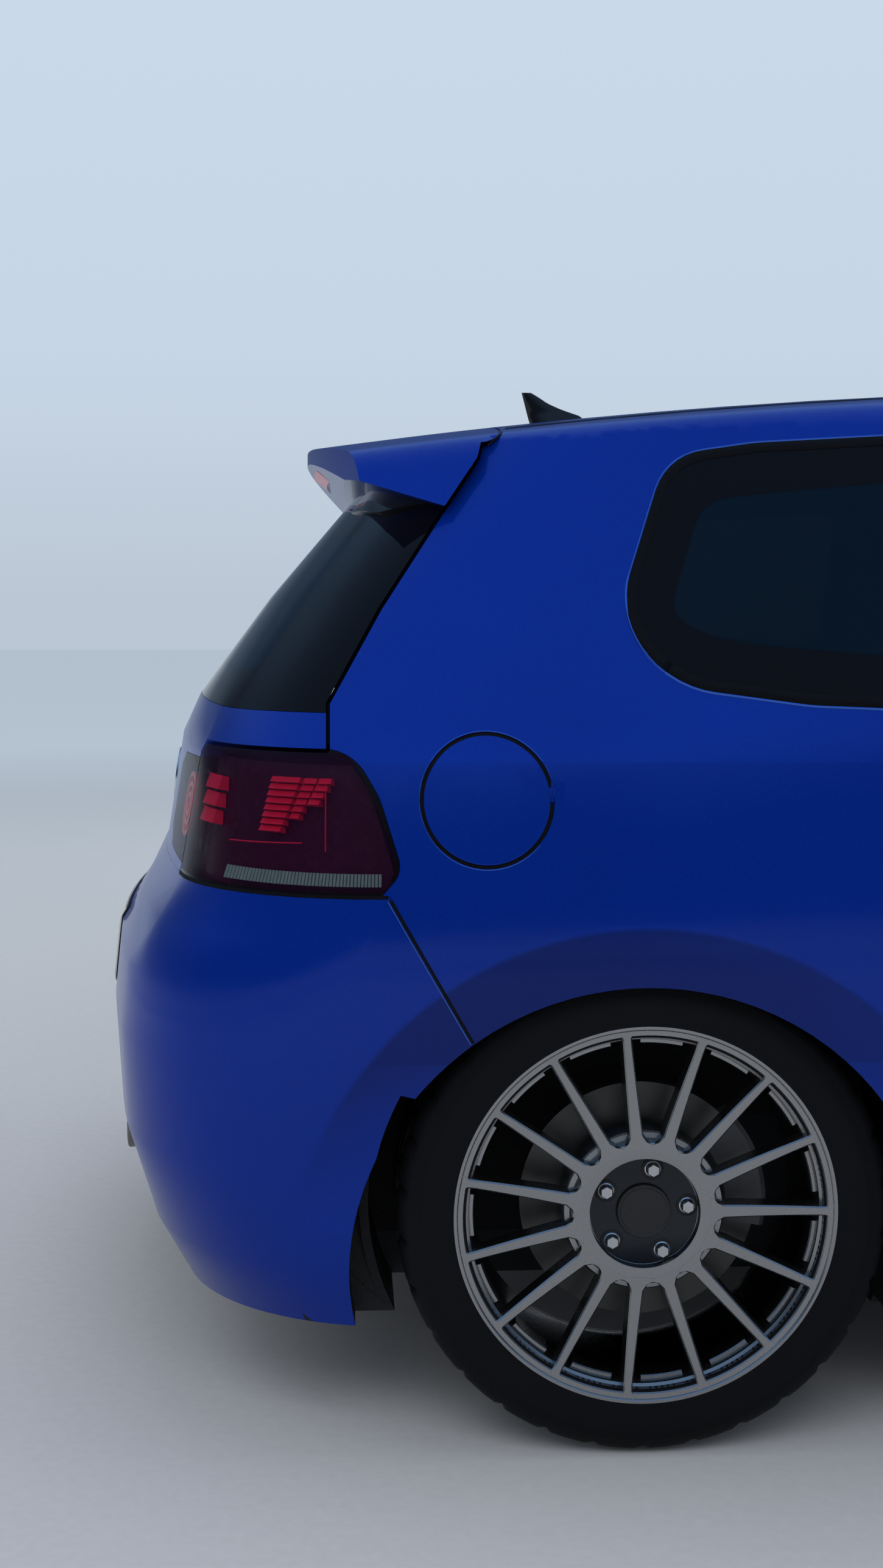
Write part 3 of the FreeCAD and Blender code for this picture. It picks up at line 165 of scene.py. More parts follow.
def on_hull(place, z, out=0.0, side=1):
    """A point on the body's outside, given by its place along the half outline, moved outwards by out."""
    top = len(HULL[0]) - 1
    place = min(max(place, 0.0), top)

    def at(p, height):
        xy = level(height)
        i = min(int(p), top - 1)
        q = xy[i] * (1 - (p - i)) + xy[i + 1] * (p - i)
        return np.array([q[0], q[1], height])

    along = at(min(place + 0.3, top), z) - at(max(place - 0.3, 0), z)
    up = at(place, min(z + 0.01, 1.43)) - at(place, max(z - 0.01, 0.166))
    normal = np.cross(up, along)
    normal /= np.linalg.norm(normal)
    point = at(place, z) + normal * out
    return Vector((point[0], side * point[1], point[2]))


def side_point(x, z, out=0.0, side=1):
    return on_hull(place_of_x(x, z), z, out, side)


def rear_point(y, z, out=0.0):
    return on_hull(place_of_y(abs(y), z), z, out, 1 if y >= 0 else -1)


def front_point(y, z, out=0.0):
    return on_hull(place_of_y(abs(y), z, True), z, out, 1 if y >= 0 else -1)


# Node trees
def opaque(color):
    return (*color, 1.0) if isinstance(color, tuple) else color


def socket(tree, value, target):
    """Link a node's output to the target, or set the target's own value."""
    if isinstance(value, Term):
        value = value.output
    if isinstance(value, bpy.types.NodeSocket):
        tree.links.new(value, target)
    else:
        target.default_value = value


def new_node(tree, kind, inputs, **settings):
    made = tree.nodes.new(kind)
    for key, value in settings.items():
        setattr(made, key, value)
    for key, value in inputs.items():
        socket(tree, value, made.inputs[key])
    return made


def calculate(tree, operation, *values):
    made = new_node(tree, "ShaderNodeMath", dict(enumerate(values)), operation=operation)
    return Term(tree, made.outputs[0])


class Term:
    """A node's output that can be added, multiplied and compared."""

    def __init__(self, tree, output):
        self.tree = tree
        self.output = output

    def __add__(self, other):
        return calculate(self.tree, "ADD", self, other)

    def __sub__(self, other):
        return calculate(self.tree, "SUBTRACT", self, other)

    def __rsub__(self, other):
        return calculate(self.tree, "SUBTRACT", other, self)

    def __mul__(self, other):
        return calculate(self.tree, "MULTIPLY", self, other)

    def __lt__(self, other):
        return calculate(self.tree, "LESS_THAN", self, other)

    def __gt__(self, other):
        return calculate(self.tree, "GREATER_THAN", self, other)

    def __abs__(self):
        return calculate(self.tree, "ABSOLUTE", self)


class Shade:
    """A material with one principled shader, the slot of its pieces, and short calls for its nodes."""

    def __init__(self, name, color, roughness, slot=None, **constants):
        self.slot = slot
        self.material = bpy.data.materials.new(name)
        self.material.use_nodes = True
        self.material.diffuse_color = opaque(color)
        self.tree = self.material.node_tree
        self.bsdf = self.tree.nodes["Principled BSDF"]
        self.coords = self.tree.nodes.new("ShaderNodeTexCoord")
        self.set("Base Color", opaque(color))
        self.set("Roughness", roughness)
        for key, value in constants.items():
            self.set(key.replace("_", " "), value)

    def set(self, name, value):
        socket(self.tree, value, self.bsdf.inputs[name])

    def math(self, operation, *values):
        return calculate(self.tree, operation, *values)

    def split(self, source="Object"):
        made = new_node(self.tree, "ShaderNodeSeparateXYZ", {"Vector": self.coords.outputs[source]})
        return [Term(self.tree, output) for output in made.outputs]

    def axes(self, plane):
        named = dict(zip("xyz", self.split()))
        return named[plane[0]], named[plane[1]]

    def noise(self, scale, detail=3.0):
        inputs = {"Scale": scale, "Detail": detail, "Vector": self.coords.outputs["Object"]}
        return Term(self.tree, new_node(self.tree, "ShaderNodeTexNoise", inputs).outputs["Fac"])

    def mix(self, factor, a, b):
        inputs = {"Factor": factor, "A": opaque(a), "B": opaque(b)}
        return new_node(self.tree, "ShaderNodeMix", inputs, data_type="RGBA").outputs["Result"]

    def span(self, value, low, high, to_low=0.0, to_high=1.0):
        """The value's way from low to high, carried over to another range."""
        inputs = {"Value": value, "From Min": low, "From Max": high, "To Min": to_low, "To Max": to_high}
        made = new_node(self.tree, "ShaderNodeMapRange", inputs, clamp=True)
        return Term(self.tree, made.outputs["Result"])

    def depth_inside(self, outline, plane="xz", soft=0.05):
        """How deep a point lies inside a convex outline given in two of the object's axes."""
        a, b = self.axes(plane)
        pairs = list(zip(outline, outline[1:] + outline[:1]))
        turn = math.copysign(1.0, sum(p[0] * q[1] - q[0] * p[1] for p, q in pairs))
        found = None
        for p, q in pairs:
            length = math.dist(p, q)
            na, nb = -turn * (q[1] - p[1]) / length, turn * (q[0] - p[0]) / length
            rest = self.math("MULTIPLY_ADD", b, nb, -(p[0] * na + p[1] * nb))
            depth = self.math("MULTIPLY_ADD", a, na, rest)
            found = depth if found is None else self.math("SMOOTH_MIN", found, depth, soft)
        return found

    def radius_from(self, centre=(0.0, 0.0), plane="xz"):
        a, b = self.axes(plane)
        da, db = a - centre[0], b - centre[1]
        return self.math("SQRT", da * da + db * db)

    def vary_roughness(self, noise, low, high):
        self.set("Roughness", self.span(noise, 0.3, 0.7, low, high))

    def bump(self, height, strength, distance):
        inputs = {"Height": height, "Strength": strength, "Distance": distance}
        self.set("Normal", new_node(self.tree, "ShaderNodeBump", inputs).outputs["Normal"])


def give(shade, *nodes):
    """Dress CAD nodes in a material."""
    for node in nodes:
        mesh_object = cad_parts[node]
        if not mesh_object.material_slots:
            mesh_object.data.materials.append(shade.material)
        for slot in mesh_object.material_slots:
            slot.link = "OBJECT"
            slot.material = shade.material


# Mesh pieces
def new_object(name, data, place=(0, 0, 0)):
    made = bpy.data.objects.new(name, data)
    made.location = place
    scene.collection.objects.link(made)
    return made


def smooth_mesh(name, verts, faces):
    """A smooth-shaded mesh whose faces all look the same way out."""
    data = bpy.data.meshes.new(name)
    data.from_pydata(verts, [], faces)
    work = bmesh.new()
    work.from_mesh(data)
    bmesh.ops.remove_doubles(work, verts=work.verts, dist=1e-6)
    bmesh.ops.recalc_face_normals(work, faces=work.faces)
    work.to_mesh(data)
    work.free()
    data.polygons.foreach_set("use_smooth", [True] * len(data.polygons))
    return data


def piece(name, verts, faces, shade, body="car_body", slot=None, origin=(0, 0, 0), sharp=35.0, replaces=()):
    """A mesh piece that rides on a body. Its slot, the named one or its material's, is worked out but not
    used.
    """
    data = smooth_mesh(name, [Vector(v) - Vector(origin) for v in verts], faces)
    data.set_sharp_from_angle(angle=math.radians(sharp))
    data.materials.append(shade.material)
    made = new_object(name, data, origin)
    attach(made, body)
    slot or shade.slot
    if replaces:
        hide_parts(*replaces)
    return made


def join(*parts):
    """Several (verts, faces) lists as one."""
    verts, faces = [], []
    for v, f in parts:
        start = len(verts)
        verts += list(v)
        faces += [tuple(i + start for i in face) for face in f]
    return verts, faces


def grid_faces(rows, columns, start=0, closed_rows=False, closed_columns=False):
    faces = []
    for r in range(rows if closed_rows else rows - 1):
        for c in range(columns if closed_columns else columns - 1):
            a = start + r * columns + c
            b = start + r * columns + (c + 1) % columns
            d = start + (r + 1) % rows * columns + c
            e = start + (r + 1) % rows * columns + (c + 1) % columns
            faces.append((a, b, e, d))
    return faces


def capped(rows, ring):
    """Faces over rings of points, with the first and the last ring shut."""
    ends = [tuple(range(ring)), tuple(range((rows - 1) * ring, rows * ring))]
    return grid_faces(rows, ring, closed_columns=True) + ends


def lathe(profile, segments, start=0.0, sweep=360.0, reshape=None):
    """(u, r) points turned about the wheel's axle: x and z across it, u along it."""
    closed = sweep >= 360.0
    count = segments if closed else segments + 1
    verts = []
    for j in range(count):
        turn = math.radians(start + sweep * j / segments)
        for u, r in profile:
            if reshape:
                r = reshape(j, u, r)
            verts.append((r * math.sin(turn), u, r * math.cos(turn)))
    if closed:
        return verts, grid_faces(count, len(profile), closed_rows=True, closed_columns=True)
    return verts, capped(count, len(profile))


def tube(points, radius, segments=8, flat=1.0):
    """A round or flattened bar along points, with its ends closed."""
    points = [Vector(p) for p in points]
    verts = []
    for i, p in enumerate(points):
        ahead = (points[min(i + 1, len(points) - 1)] - points[max(i - 1, 0)]).normalized()
        across = ahead.cross(Vector((0, 0, 1)))
        if across.length < 1e-3:
            across = ahead.cross(Vector((1, 0, 0)))
        across.normalize()
        up = across.cross(ahead).normalized()
        size = radius[i] if isinstance(radius, list) else radius
        for k in range(segments):
            turn = 2 * math.pi * k / segments
            verts.append(p + across * size * math.cos(turn) + up * size * flat * math.sin(turn))
    return verts, capped(len(points), segments)


def slab(outer, inner):
    """A closed sheet between two grids of points with as many rows and columns."""
    rows, columns = len(outer), len(outer[0])
    verts = [p for row in outer for p in row] + [p for row in inner for p in row]
    second = rows * columns
    faces = grid_faces(rows, columns) + grid_faces(rows, columns, second)
    rim = list(range(columns)) + [r * columns + columns - 1 for r in range(1, rows)]
    rim += [(rows - 1) * columns + c for c in range(columns - 2, -1, -1)]
    rim += [r * columns for r in range(rows - 2, 0, -1)]
    for i, a in enumerate(rim):
        b = rim[(i + 1) % len(rim)]
        faces.append((a, b, b + second, a + second))
    return verts, faces


def sheet(rows, at, out, sink):
    """A closed sheet over rows of (a, b), each put on a surface by at(a, b, out)."""
    return slab(*[[[at(*p, height) for p in row] for row in rows] for height in (out, -sink)])


def moved_sheet(rows, first, second):
    """A closed sheet between two shifts of a grid of points."""
    return slab(*[[[Vector(p) + Vector(shift) for p in row] for row in rows] for shift in (first, second)])


def fine(points, step):
    """The same line with a point at least every step."""
    result = [points[0]]
    for p, q in zip(points, points[1:]):
        count = max(1, int(math.dist(p, q) / step))
        result += [tuple(between(a, b, i / count) for a, b in zip(p, q)) for i in range(1, count + 1)]
    return result


# Camera at the photograph's place
PHOTO_HEIGHT = 2576.0
FOCAL_PIXELS = 3200.0
SENSOR = 36.0
YAW, PITCH = math.radians(2.913), math.radians(-5.410)
EYE = (-1.746, -3.255, 1.097)

camera = new_object("camera", bpy.data.cameras.new("camera"), EYE)
camera.data.sensor_width = SENSOR
camera.data.lens = SENSOR * FOCAL_PIXELS / PHOTO_HEIGHT
camera.rotation_euler = (math.pi / 2 + PITCH, 0.0, -YAW)
scene.camera = camera
scene.view_settings.view_transform = "Standard"

# Paint and its inner trim
PAINT = (0.0, 0.021, 0.245)
ARCHES = {"rear": (-1.367, 0.242, 0.374), "front": (1.214, 0.262, 0.394)}
LIP_BAND = 0.074
LINER_RADIUS = 0.42
INNER_RADIUS = 0.46
INNER_HALF = 0.80
CREASE_Z = 0.893
CREASE_DROP = 0.2133


def paint(name, inner="side"):
    """Blue clear-coated paint outside and dark trim on the faces that look into the car."""
    shade = Shade(name, PAINT, 0.32, "body_paint", Coat_Roughness=0.02, Coat_IOR=1.42,
                  Specular_IOR_Level=0.06)
    color = shade.mix(shade.span(shade.noise(900.0, 2.0), 0.35, 0.7), PAINT, (0.0, 0.031, 0.33))
    color = shade.mix(shade.span(shade.noise(3.0, 2.0), 0.3, 0.7, 0.0, 0.3), color, (0.0, 0.014, 0.19))
    x, y, z = shade.split()
    nx, ny, nz = shade.split("Normal")
    if inner == "side":
        trim = shade.math("SIGN", y) * ny < -0.25
    elif inner == "rear":
        trim = nx > 0.35
    elif inner == "top":
        trim = nz < -0.3
    else:
        trim = shade.math("SIGN", x) * nx < -0.5
    # The bump is a hollow below the crease, with a lip around each wheel arch
    drop = shade.span(z, CREASE_Z - CREASE_DROP, CREASE_Z, CREASE_DROP, 0.0)
    shape = drop * shade.math("MULTIPLY_ADD", drop, 0.1875, -0.08)
    for end, (arch_x, arch_z, arch_r) in ARCHES.items():
        r = shade.radius_from((AXLES[end], AXLE_Z))
        towards = (x - AXLES[end]) * nx + (z - AXLE_Z) * nz
        liner = (r < LINER_RADIUS) * (towards < -0.15)
        flank = (r < INNER_RADIUS) * (abs(y) < INNER_HALF)
        trim = shade.math("MAXIMUM", trim, shade.math("MAXIMUM", liner, flank))
        out = shade.radius_from((arch_x, arch_z)) - (arch_r + LIP_BAND)
        lip = shade.math("SMOOTH_MIN", out, 0.0, 0.006) * 0.9
        lip = shade.math("MAXIMUM", lip, -0.9 * LIP_BAND - 0.01)
        shape += lip * shade.span(z, 0.30, 0.52)
    trim = shade.math("MAXIMUM", trim, (nz < -0.85) * (z < 0.5))
    grain = shade.noise(260.0, 4.0)
    lining = shade.mix(grain, (0.010, 0.010, 0.012), (0.028, 0.028, 0.030))
    shade.set("Base Color", shade.mix(trim, color, lining))
    for value, on_paint, on_trim in (("Metallic", 0.5, 0.0), ("Roughness", 0.34, 0.62),
                                     ("Coat Weight", 0.45, 0.0)):
        shade.set(value, shade.span(trim, 0.0, 1.0, on_paint, on_trim))
    shade.bump(shape * (1.0 - trim) + trim * grain * 0.00015, 1.0, 1.0)
    return shade


SIDE_PANELS = ("body_side_left", "body_side_right", "door_left", "door_right", "wing_left", "wing_right",
               "fuel_flap")
TAIL_PANELS = ("tailgate", "roof_spoiler", "rear_bumper")
paint_side = paint("paint_side")
paint_plain = paint("paint_plain", "nose")
give(paint_side, *SIDE_PANELS)
give(paint("paint_rear", "rear"), *TAIL_PANELS)
give(paint("paint_top", "top"), "roof_panel", "bonnet")
give(paint("paint_nose", "nose"), "front_bumper")


# Smooth shading over the bands of the side, tail and nose
def hull_shape():
    """A smooth copy of the body's outside that lends its normals to the panels."""
    slopes = np.diff(HULL, axis=0) / np.diff(HEIGHTS)[:, None, None]
    tangents = np.zeros_like(HULL)
    tangents[0], tangents[-1] = slopes[0], slopes[-1]
    for k in range(1, len(HULL) - 1):
        a, b = slopes[k - 1], slopes[k]
        same = a * b > 0
        tangents[k] = np.where(same, 2 * a * b / np.where(same, a + b, 1.0), 0.0)
    levels = [float(z) for z in np.linspace(HEIGHTS[0], 1.33, 90)]
    verts = []
    for z in levels:
        k, t = storey(z)
        h = HEIGHTS[k + 1] - HEIGHTS[k]
        xy = (HULL[k] * (2 * t ** 3 - 3 * t ** 2 + 1) + tangents[k] * h * (t ** 3 - 2 * t ** 2 + t)
              + HULL[k + 1] * (3 * t ** 2 - 2 * t ** 3) + tangents[k + 1] * h * (t ** 3 - t ** 2))
        verts += [(float(x), float(y), z) for x, y in xy]
        verts += [(float(x), -float(y), z) for x, y in xy[-2:0:-1]]
    faces = grid_faces(len(levels), len(verts) // len(levels), closed_columns=True)
    data = smooth_mesh("hull_shape", verts, faces)
    middle = Vector((0, 0, 0.6))
    if sum(face.normal.dot(face.center - middle) for face in data.polygons) < 0:
        data.flip_normals()
    made = new_object("hull_shape", data)
    made.hide_render = True
    made.hide_viewport = True
    return made


def softening(shape, closeness=0.006, likeness=0.86):
    """A modifier group that takes normals from the shape wherever a face lies on it."""
    tree = bpy.data.node_groups.new("soften_bands", "GeometryNodeTree")
    for way in ("INPUT", "OUTPUT"):
        tree.interface.new_socket("Geometry", in_out=way, socket_type="NodeSocketGeometry")

    def new(kind, inputs, **settings):
        return new_node(tree, kind, inputs, **settings).outputs

    start = new("NodeGroupInput", {})
    normal = new("GeometryNodeInputNormal", {})
    lender = new("GeometryNodeObjectInfo", {"Object": shape}, transform_space="ORIGINAL")["Geometry"]
    lent = new("GeometryNodeSampleNearestSurface", {"Mesh": lender, "Value": normal["Normal"]},
               data_type="FLOAT_VECTOR")["Value"]
    near = new("GeometryNodeProximity", {0: lender}, target_element="FACES")["Distance"]
    alike = new("ShaderNodeVectorMath", {0: lent, 1: normal["True Normal"]}, operation="DOT_PRODUCT")["Value"]
    facing = new("FunctionNodeCompare", {0: alike, 1: likeness}, operation="GREATER_THAN")[0]
    close = new("FunctionNodeCompare", {0: near, 1: closeness}, operation="LESS_THAN")[0]
    both = new("FunctionNodeBooleanMath", {0: facing, 1: close}, operation="AND")[0]
    chosen = new("GeometryNodeSwitch", {"Switch": both, "False": normal["Normal"], "True": lent},
                 input_type="VECTOR")[0]
    softened = new("GeometryNodeSetMeshNormal", {"Mesh": start[0], "Custom Normal": chosen},
                   mode="FREE", domain="CORNER")[0]
    new("NodeGroupOutput", {0: softened})
    return tree


soften = softening(hull_shape())
for node in SIDE_PANELS + TAIL_PANELS + (
        "front_bumper", "rear_diffuser", "tail_lamps", "tailgate_lamps", "head_lamps", "door_glass_left",
        "door_glass_right", "quarter_windows", "tailgate_glass"):
    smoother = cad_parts[node].modifiers.new("soften_bands", "NODES")
    smoother.node_group = soften

# Glass, lamps, plastics and metals
QUARTER_GLASS = [(-1.392, 1.055), (-1.306, 1.283), (-1.190, 1.300), (-0.700, 1.326), (-0.690, 0.952),
                 (-1.150, 0.970), (-1.300, 0.990)]
QUARTER_RADII = (0.100, 0.080, 0.300, 0.014, 0.020, 0.300, 0.120)
DOOR_GLASS = [(0.560, 0.938), (0.020, 1.268), (-0.090, 1.312), (-0.560, 1.322), (-0.578, 1.312),
              (-0.590, 0.952)]
DOOR_RADII = (0.014, 0.060, 0.060, 0.014, 0.014, 0.020)
REAR_GLASS = [(-0.690, 0.950), (-0.560, 1.235), (0.560, 1.235), (0.690, 0.950)]
SCREEN_GLASS = [(-0.735, 0.925), (-0.556, 1.376), (0.556, 1.376), (0.735, 0.925)]
LAMP_EDGE = [(-1.690, 0.729), (-1.672, 0.760), (-1.700, 0.850), (-1.735, 0.909)]
TAIL_LAMP = LAMP_EDGE[1:] + [(-2.300, 0.909), (-2.300, 0.729)] + LAMP_EDGE[:1]


def tinted_glass(name, outline, plane, border, tone, through):
    """Dark glass with a black printed border that ends in a soft edge."""
    shade = Shade(name, tone, 0.02, IOR=1.45, Specular_IOR_Level=0.15)
    printed = shade.span(shade.depth_inside(outline, plane), border - 0.002, border + 0.002, 1.0, 0.0)
    wave = shade.noise(3.0, 2.0)
    facing = new_node(shade.tree, "ShaderNodeLayerWeight", {"Blend": 0.25}).outputs["Facing"]
    slanted = shade.math("MULTIPLY_ADD", facing, 1.0 - through, through)
    body = shade.mix(wave, tone, tuple(c * 1.4 for c in tone))
    shade.set("Alpha", shade.math("MAXIMUM", printed, slanted))
    shade.set("Base Color", shade.mix(printed, body, (0.002, 0.002, 0.003)))
    shade.vary_roughness(wave, 0.012, 0.03)
    return shade


def lens(name, tone, alpha, outline=None, rim=0.006):
    """A lamp's cover: part of what lies behind it shows, and the edge of its outline is dark."""
    shade = Shade(name, tone, 0.03, IOR=1.45, Specular_IOR_Level=0.16)
    haze = shade.noise(60.0, 3.0)
    color = shade.mix(haze, tone, tuple(c * 1.3 for c in tone))
    seen = alpha
    if outline:
        edge = shade.span(shade.depth_inside(outline, "xz", 0.02), rim - 0.002, rim + 0.003, 1.0, 0.0)
        color = shade.mix(edge, color, (0.003, 0.002, 0.003))
        seen = shade.math("MAXIMUM", edge, alpha)
    shade.set("Base Color", color)
    shade.set("Alpha", seen)
    shade.vary_roughness(haze, 0.02, 0.05)
    return shade


def grained(name, dark, light, roughness, scale, strength, metallic=0.0, specular=0.2, slot="black_plastic"):
    """A fine-grained material between two tones."""
    shade = Shade(name, dark, roughness, slot, Metallic=metallic, Specular_IOR_Level=specular)
    grain = shade.noise(scale, 5.0)
    shade.set("Base Color", shade.mix(grain, dark, light))
    shade.vary_roughness(grain, roughness - 0.08, roughness + 0.08)
    shade.bump(grain, strength, 0.0008)
    return shade


gloss_black = Shade("gloss_black", (0.004, 0.004, 0.005), 0.08, "black_gloss",
                    Coat_Weight=0.4, Coat_Roughness=0.02, Specular_IOR_Level=0.2)
gloss_black.vary_roughness(gloss_black.noise(80.0), 0.05, 0.14)
black_plastic = grained("black_plastic", (0.008, 0.008, 0.009), (0.022, 0.022, 0.024), 0.55, 700.0, 0.35)
# Black rubber for the seals, and for the black strips that stand for the shade in the bumper seam and the
# fuel flap's gap
rubber = grained("rubber_seal_and_gap_shadow", (0.0015, 0.0015, 0.002), (0.004, 0.004, 0.005), 0.45, 400.0, 0.1, 0.0, 0.1)
leather = grained("leather_black", (0.010, 0.010, 0.011), (0.024, 0.023, 0.022), 0.5, 420.0, 0.5)
felt = grained("shelf_felt", (0.012, 0.012, 0.013), (0.03, 0.03, 0.032), 0.9, 500.0, 0.5)
underbody = grained("underbody_paint", (0.012, 0.013, 0.016), (0.03, 0.032, 0.036), 0.6, 90.0, 0.4)
engine_metal = grained("engine_metal", (0.10, 0.10, 0.105), (0.2, 0.2, 0.2), 0.5, 60.0, 0.4, 0.8)
exhaust_steel = grained("exhaust_steel", (0.20, 0.19, 0.18), (0.36, 0.34, 0.32), 0.38, 25.0, 0.15, 1.0,
                        slot="exhaust_steel")
axle_iron = grained("axle_iron", (0.012, 0.012, 0.013), (0.035, 0.034, 0.033), 0.55, 120.0, 0.5, 0.3)
caliper_grey = grained("caliper_grey", (0.05, 0.05, 0.052), (0.10, 0.10, 0.10), 0.45, 90.0, 0.3, 0.4,
                       slot="axle_iron")
chrome = grained("bright_metal", (0.62, 0.62, 0.63), (0.72, 0.72, 0.72), 0.16, 50.0, 0.03, 1.0,
                 slot="black_gloss")
mirror_silver = grained("mirror_silver", (0.80, 0.82, 0.84), (0.86, 0.88, 0.90), 0.06, 40.0, 0.0, 1.0,
                        slot="black_gloss")
wheel_cap = grained("wheel_cap", (0.008, 0.008, 0.009), (0.03, 0.03, 0.032), 0.25, 800.0, 0.2,
                    slot="black_gloss")
bolt_silver = grained("bolt_silver", (0.45, 0.45, 0.46), (0.6, 0.6, 0.6), 0.28, 200.0, 0.05, 1.0,
                      slot="rim_satin")
# Lips and edges in a lighter blue than the paint: a painted highlight, on top of what its metal really
# mirrors
edge_highlight_paint = grained("edge_highlight_paint", (0.06, 0.15, 0.55), (0.09, 0.20, 0.62), 0.18, 300.0, 0.02, 1.0,
                     slot="body_paint")
plate_white = grained("plate_white", (0.62, 0.62, 0.60), (0.70, 0.70, 0.68), 0.35, 600.0, 0.1)
amber = grained("amber_lens", (0.60, 0.14, 0.01), (0.75, 0.20, 0.02), 0.15, 200.0, 0.1, slot="lamp_clear")
lamp_red = grained("lamp_red", (0.80, 0.008, 0.05), (0.95, 0.02, 0.09), 0.18, 300.0, 0.2, slot="lamp_red")
lamp_dark = grained("lamp_dark", (0.030, 0.003, 0.016), (0.050, 0.004, 0.026), 0.25, 60.0, 0.1,
                    slot="lamp_red")
lamp_grey = grained("lamp_grey", (0.16, 0.24, 0.26), (0.26, 0.36, 0.38), 0.2, 100.0, 0.1, slot="lamp_red")

DARK_GLASS = (0.001, 0.005, 0.012)
give(tinted_glass("door_glass", DOOR_GLASS, "xz", 0.010, DARK_GLASS, 0.60),
     "door_glass_left", "door_glass_right")
give(tinted_glass("quarter_glass", QUARTER_GLASS, "xz", 0.055, DARK_GLASS, 0.80), "quarter_windows")
give(tinted_glass("rear_glass", REAR_GLASS, "yz", 0.050, (0.001, 0.006, 0.014), 0.80), "tailgate_glass")
give(tinted_glass("clear_glass", SCREEN_GLASS, "yz", 0.035, (0.03, 0.045, 0.045), 0.28), "windscreen")
give(lens("lens_red", (0.010, 0.002, 0.010), 0.50, TAIL_LAMP), "tail_lamps", "tailgate_lamps")
give(lens("lens_clear", (0.55, 0.58, 0.60), 0.16), "head_lamps")
give(gloss_black, "antenna")
give(paint_plain, "mirror_left", "mirror_right")
give(black_plastic, "rear_diffuser", "front_grille", "dashboard")
give(underbody, "floor_pan", "bulkhead")
give(engine_metal, "engine_block")
give(exhaust_steel, "exhaust")
give(axle_iron, "rear_axle", "front_axle", "knuckle_left", "knuckle_right")


# Wheels
def rim_metal():
    """Bright outside, dark in the hub's middle, and on the barrel darker inwards, a painted shade."""
    shade = Shade("rim_satin", (0.30, 0.30, 0.30), 0.30, "rim_satin",
                  Metallic=1.0, Coat_Weight=0.2, Coat_Roughness=0.10)
    y = shade.split()[1]
    grain = shade.noise(900.0, 3.0)
    color = shade.mix(grain, (0.27, 0.265, 0.26), (0.36, 0.355, 0.35))
    color = shade.mix(shade.radius_from() < 0.0695, color, (0.030, 0.032, 0.036))
    # Painted shade: the barrel darkens the deeper it lies inside the wheel
    color = shade.mix(shade.span(abs(y), 0.050, 0.082, 1.0, 0.0), color, (0.05, 0.055, 0.065))
    shade.set("Base Color", color)
    shade.vary_roughness(grain, 0.22, 0.34)
    shade.bump(grain, 0.06, 0.0004)
    return shade


def tyre_rubber():
    """Black rubber with fine rings on a band of its wall."""
    shade = Shade("tyre_rubber", (0.004, 0.004, 0.005), 0.62, "tyre_rubber", Specular_IOR_Level=0.12)
    r = shade.radius_from()
    grain = shade.noise(350.0, 4.0)
    shade.set("Base Color", shade.mix(grain, (0.002, 0.002, 0.003), (0.006, 0.006, 0.007)))
    shade.vary_roughness(grain, 0.52, 0.72)
    wall = shade.span(r, 0.283, 0.286) * shade.span(r, 0.296, 0.299, 1.0, 0.0)
    shade.bump(grain * 0.4 + shade.math("SINE", r * 2600.0) * wall, 0.35, 0.0008)
    return shade


def disc_iron():
    shade = Shade("brake_iron", (0.28, 0.27, 0.26), 0.38, Metallic=0.9)
    patches = shade.noise(30.0, 4.0)
    shade.set("Base Color", shade.mix(patches, (0.045, 0.043, 0.042), (0.11, 0.105, 0.10)))
    shade.vary_roughness(patches, 0.30, 0.50)
    shade.bump(shade.noise(500.0, 2.0), 0.1, 0.0003)
    return shade


def spoke(turn):
    """One spoke: chamfered section that narrows outwards and flares into hub and ring."""
    chamfer, draft = 0.0018, 0.0022
    a = math.radians(turn)
    rows = steps(18)
    verts = []
    for t in rows:
        r = 0.084 + t * 0.1555
        half = 0.0088 - 0.0034 * t
        half += 0.0075 * max(0.0, 1 - (r - 0.090) / 0.012) ** 2
        half += 0.0060 * max(0.0, 1 - (0.2385 - r) / 0.011) ** 2
        face = HUB_FACE + 0.0005 + 0.0115 * t ** 2.2
        back = face - (0.024 - 0.003 * t)
        section = [(-half + chamfer, face), (half - chamfer, face), (half, face - chamfer),
                   (half + draft, back), (-half - draft, back), (-half, face - chamfer)]
        verts += [(r * math.sin(a) + s * math.cos(a), u, r * math.cos(a) - s * math.sin(a))
                  for s, u in section]
    return verts, capped(len(rows), len(section))


RIM_RING = [(0.1075, 0.2462), (0.1090, 0.2450), (0.1090, 0.2415), (0.1078, 0.2400), (0.1066, 0.2395),
            (0.1060, 0.2335), (0.1040, 0.2320), (0.0960, 0.2312), (0.0930, 0.2300), (0.0900, 0.2255),
            (0.0840, 0.2235), (0.0500, 0.2180), (-0.0500, 0.2165), (-0.0900, 0.2240), (-0.1070, 0.2320),
            (-0.1090, 0.2440), (-0.1075, 0.2462), (-0.1000, 0.2462), (-0.1000, 0.2290), (0.1000, 0.2290),
            (0.1000, 0.2462)]
RIM_HUB = [(0.0950, 0.0712), (0.0953, 0.0725), (0.0953, 0.0905), (0.0940, 0.0922), (0.0840, 0.0935),
           (0.0815, 0.0955), (0.0805, 0.1020), (0.0780, 0.1040), (0.0450, 0.1060), (0.0450, 0.0210),
           (0.0800, 0.0210), (0.0830, 0.0330), (0.0830, 0.0685), (0.0838, 0.0700)]
RIM_PAD = [(0.083, 0.2245), (0.083, 0.2195), (0.081, 0.2180), (0.055, 0.2165), (0.055, 0.2200)]
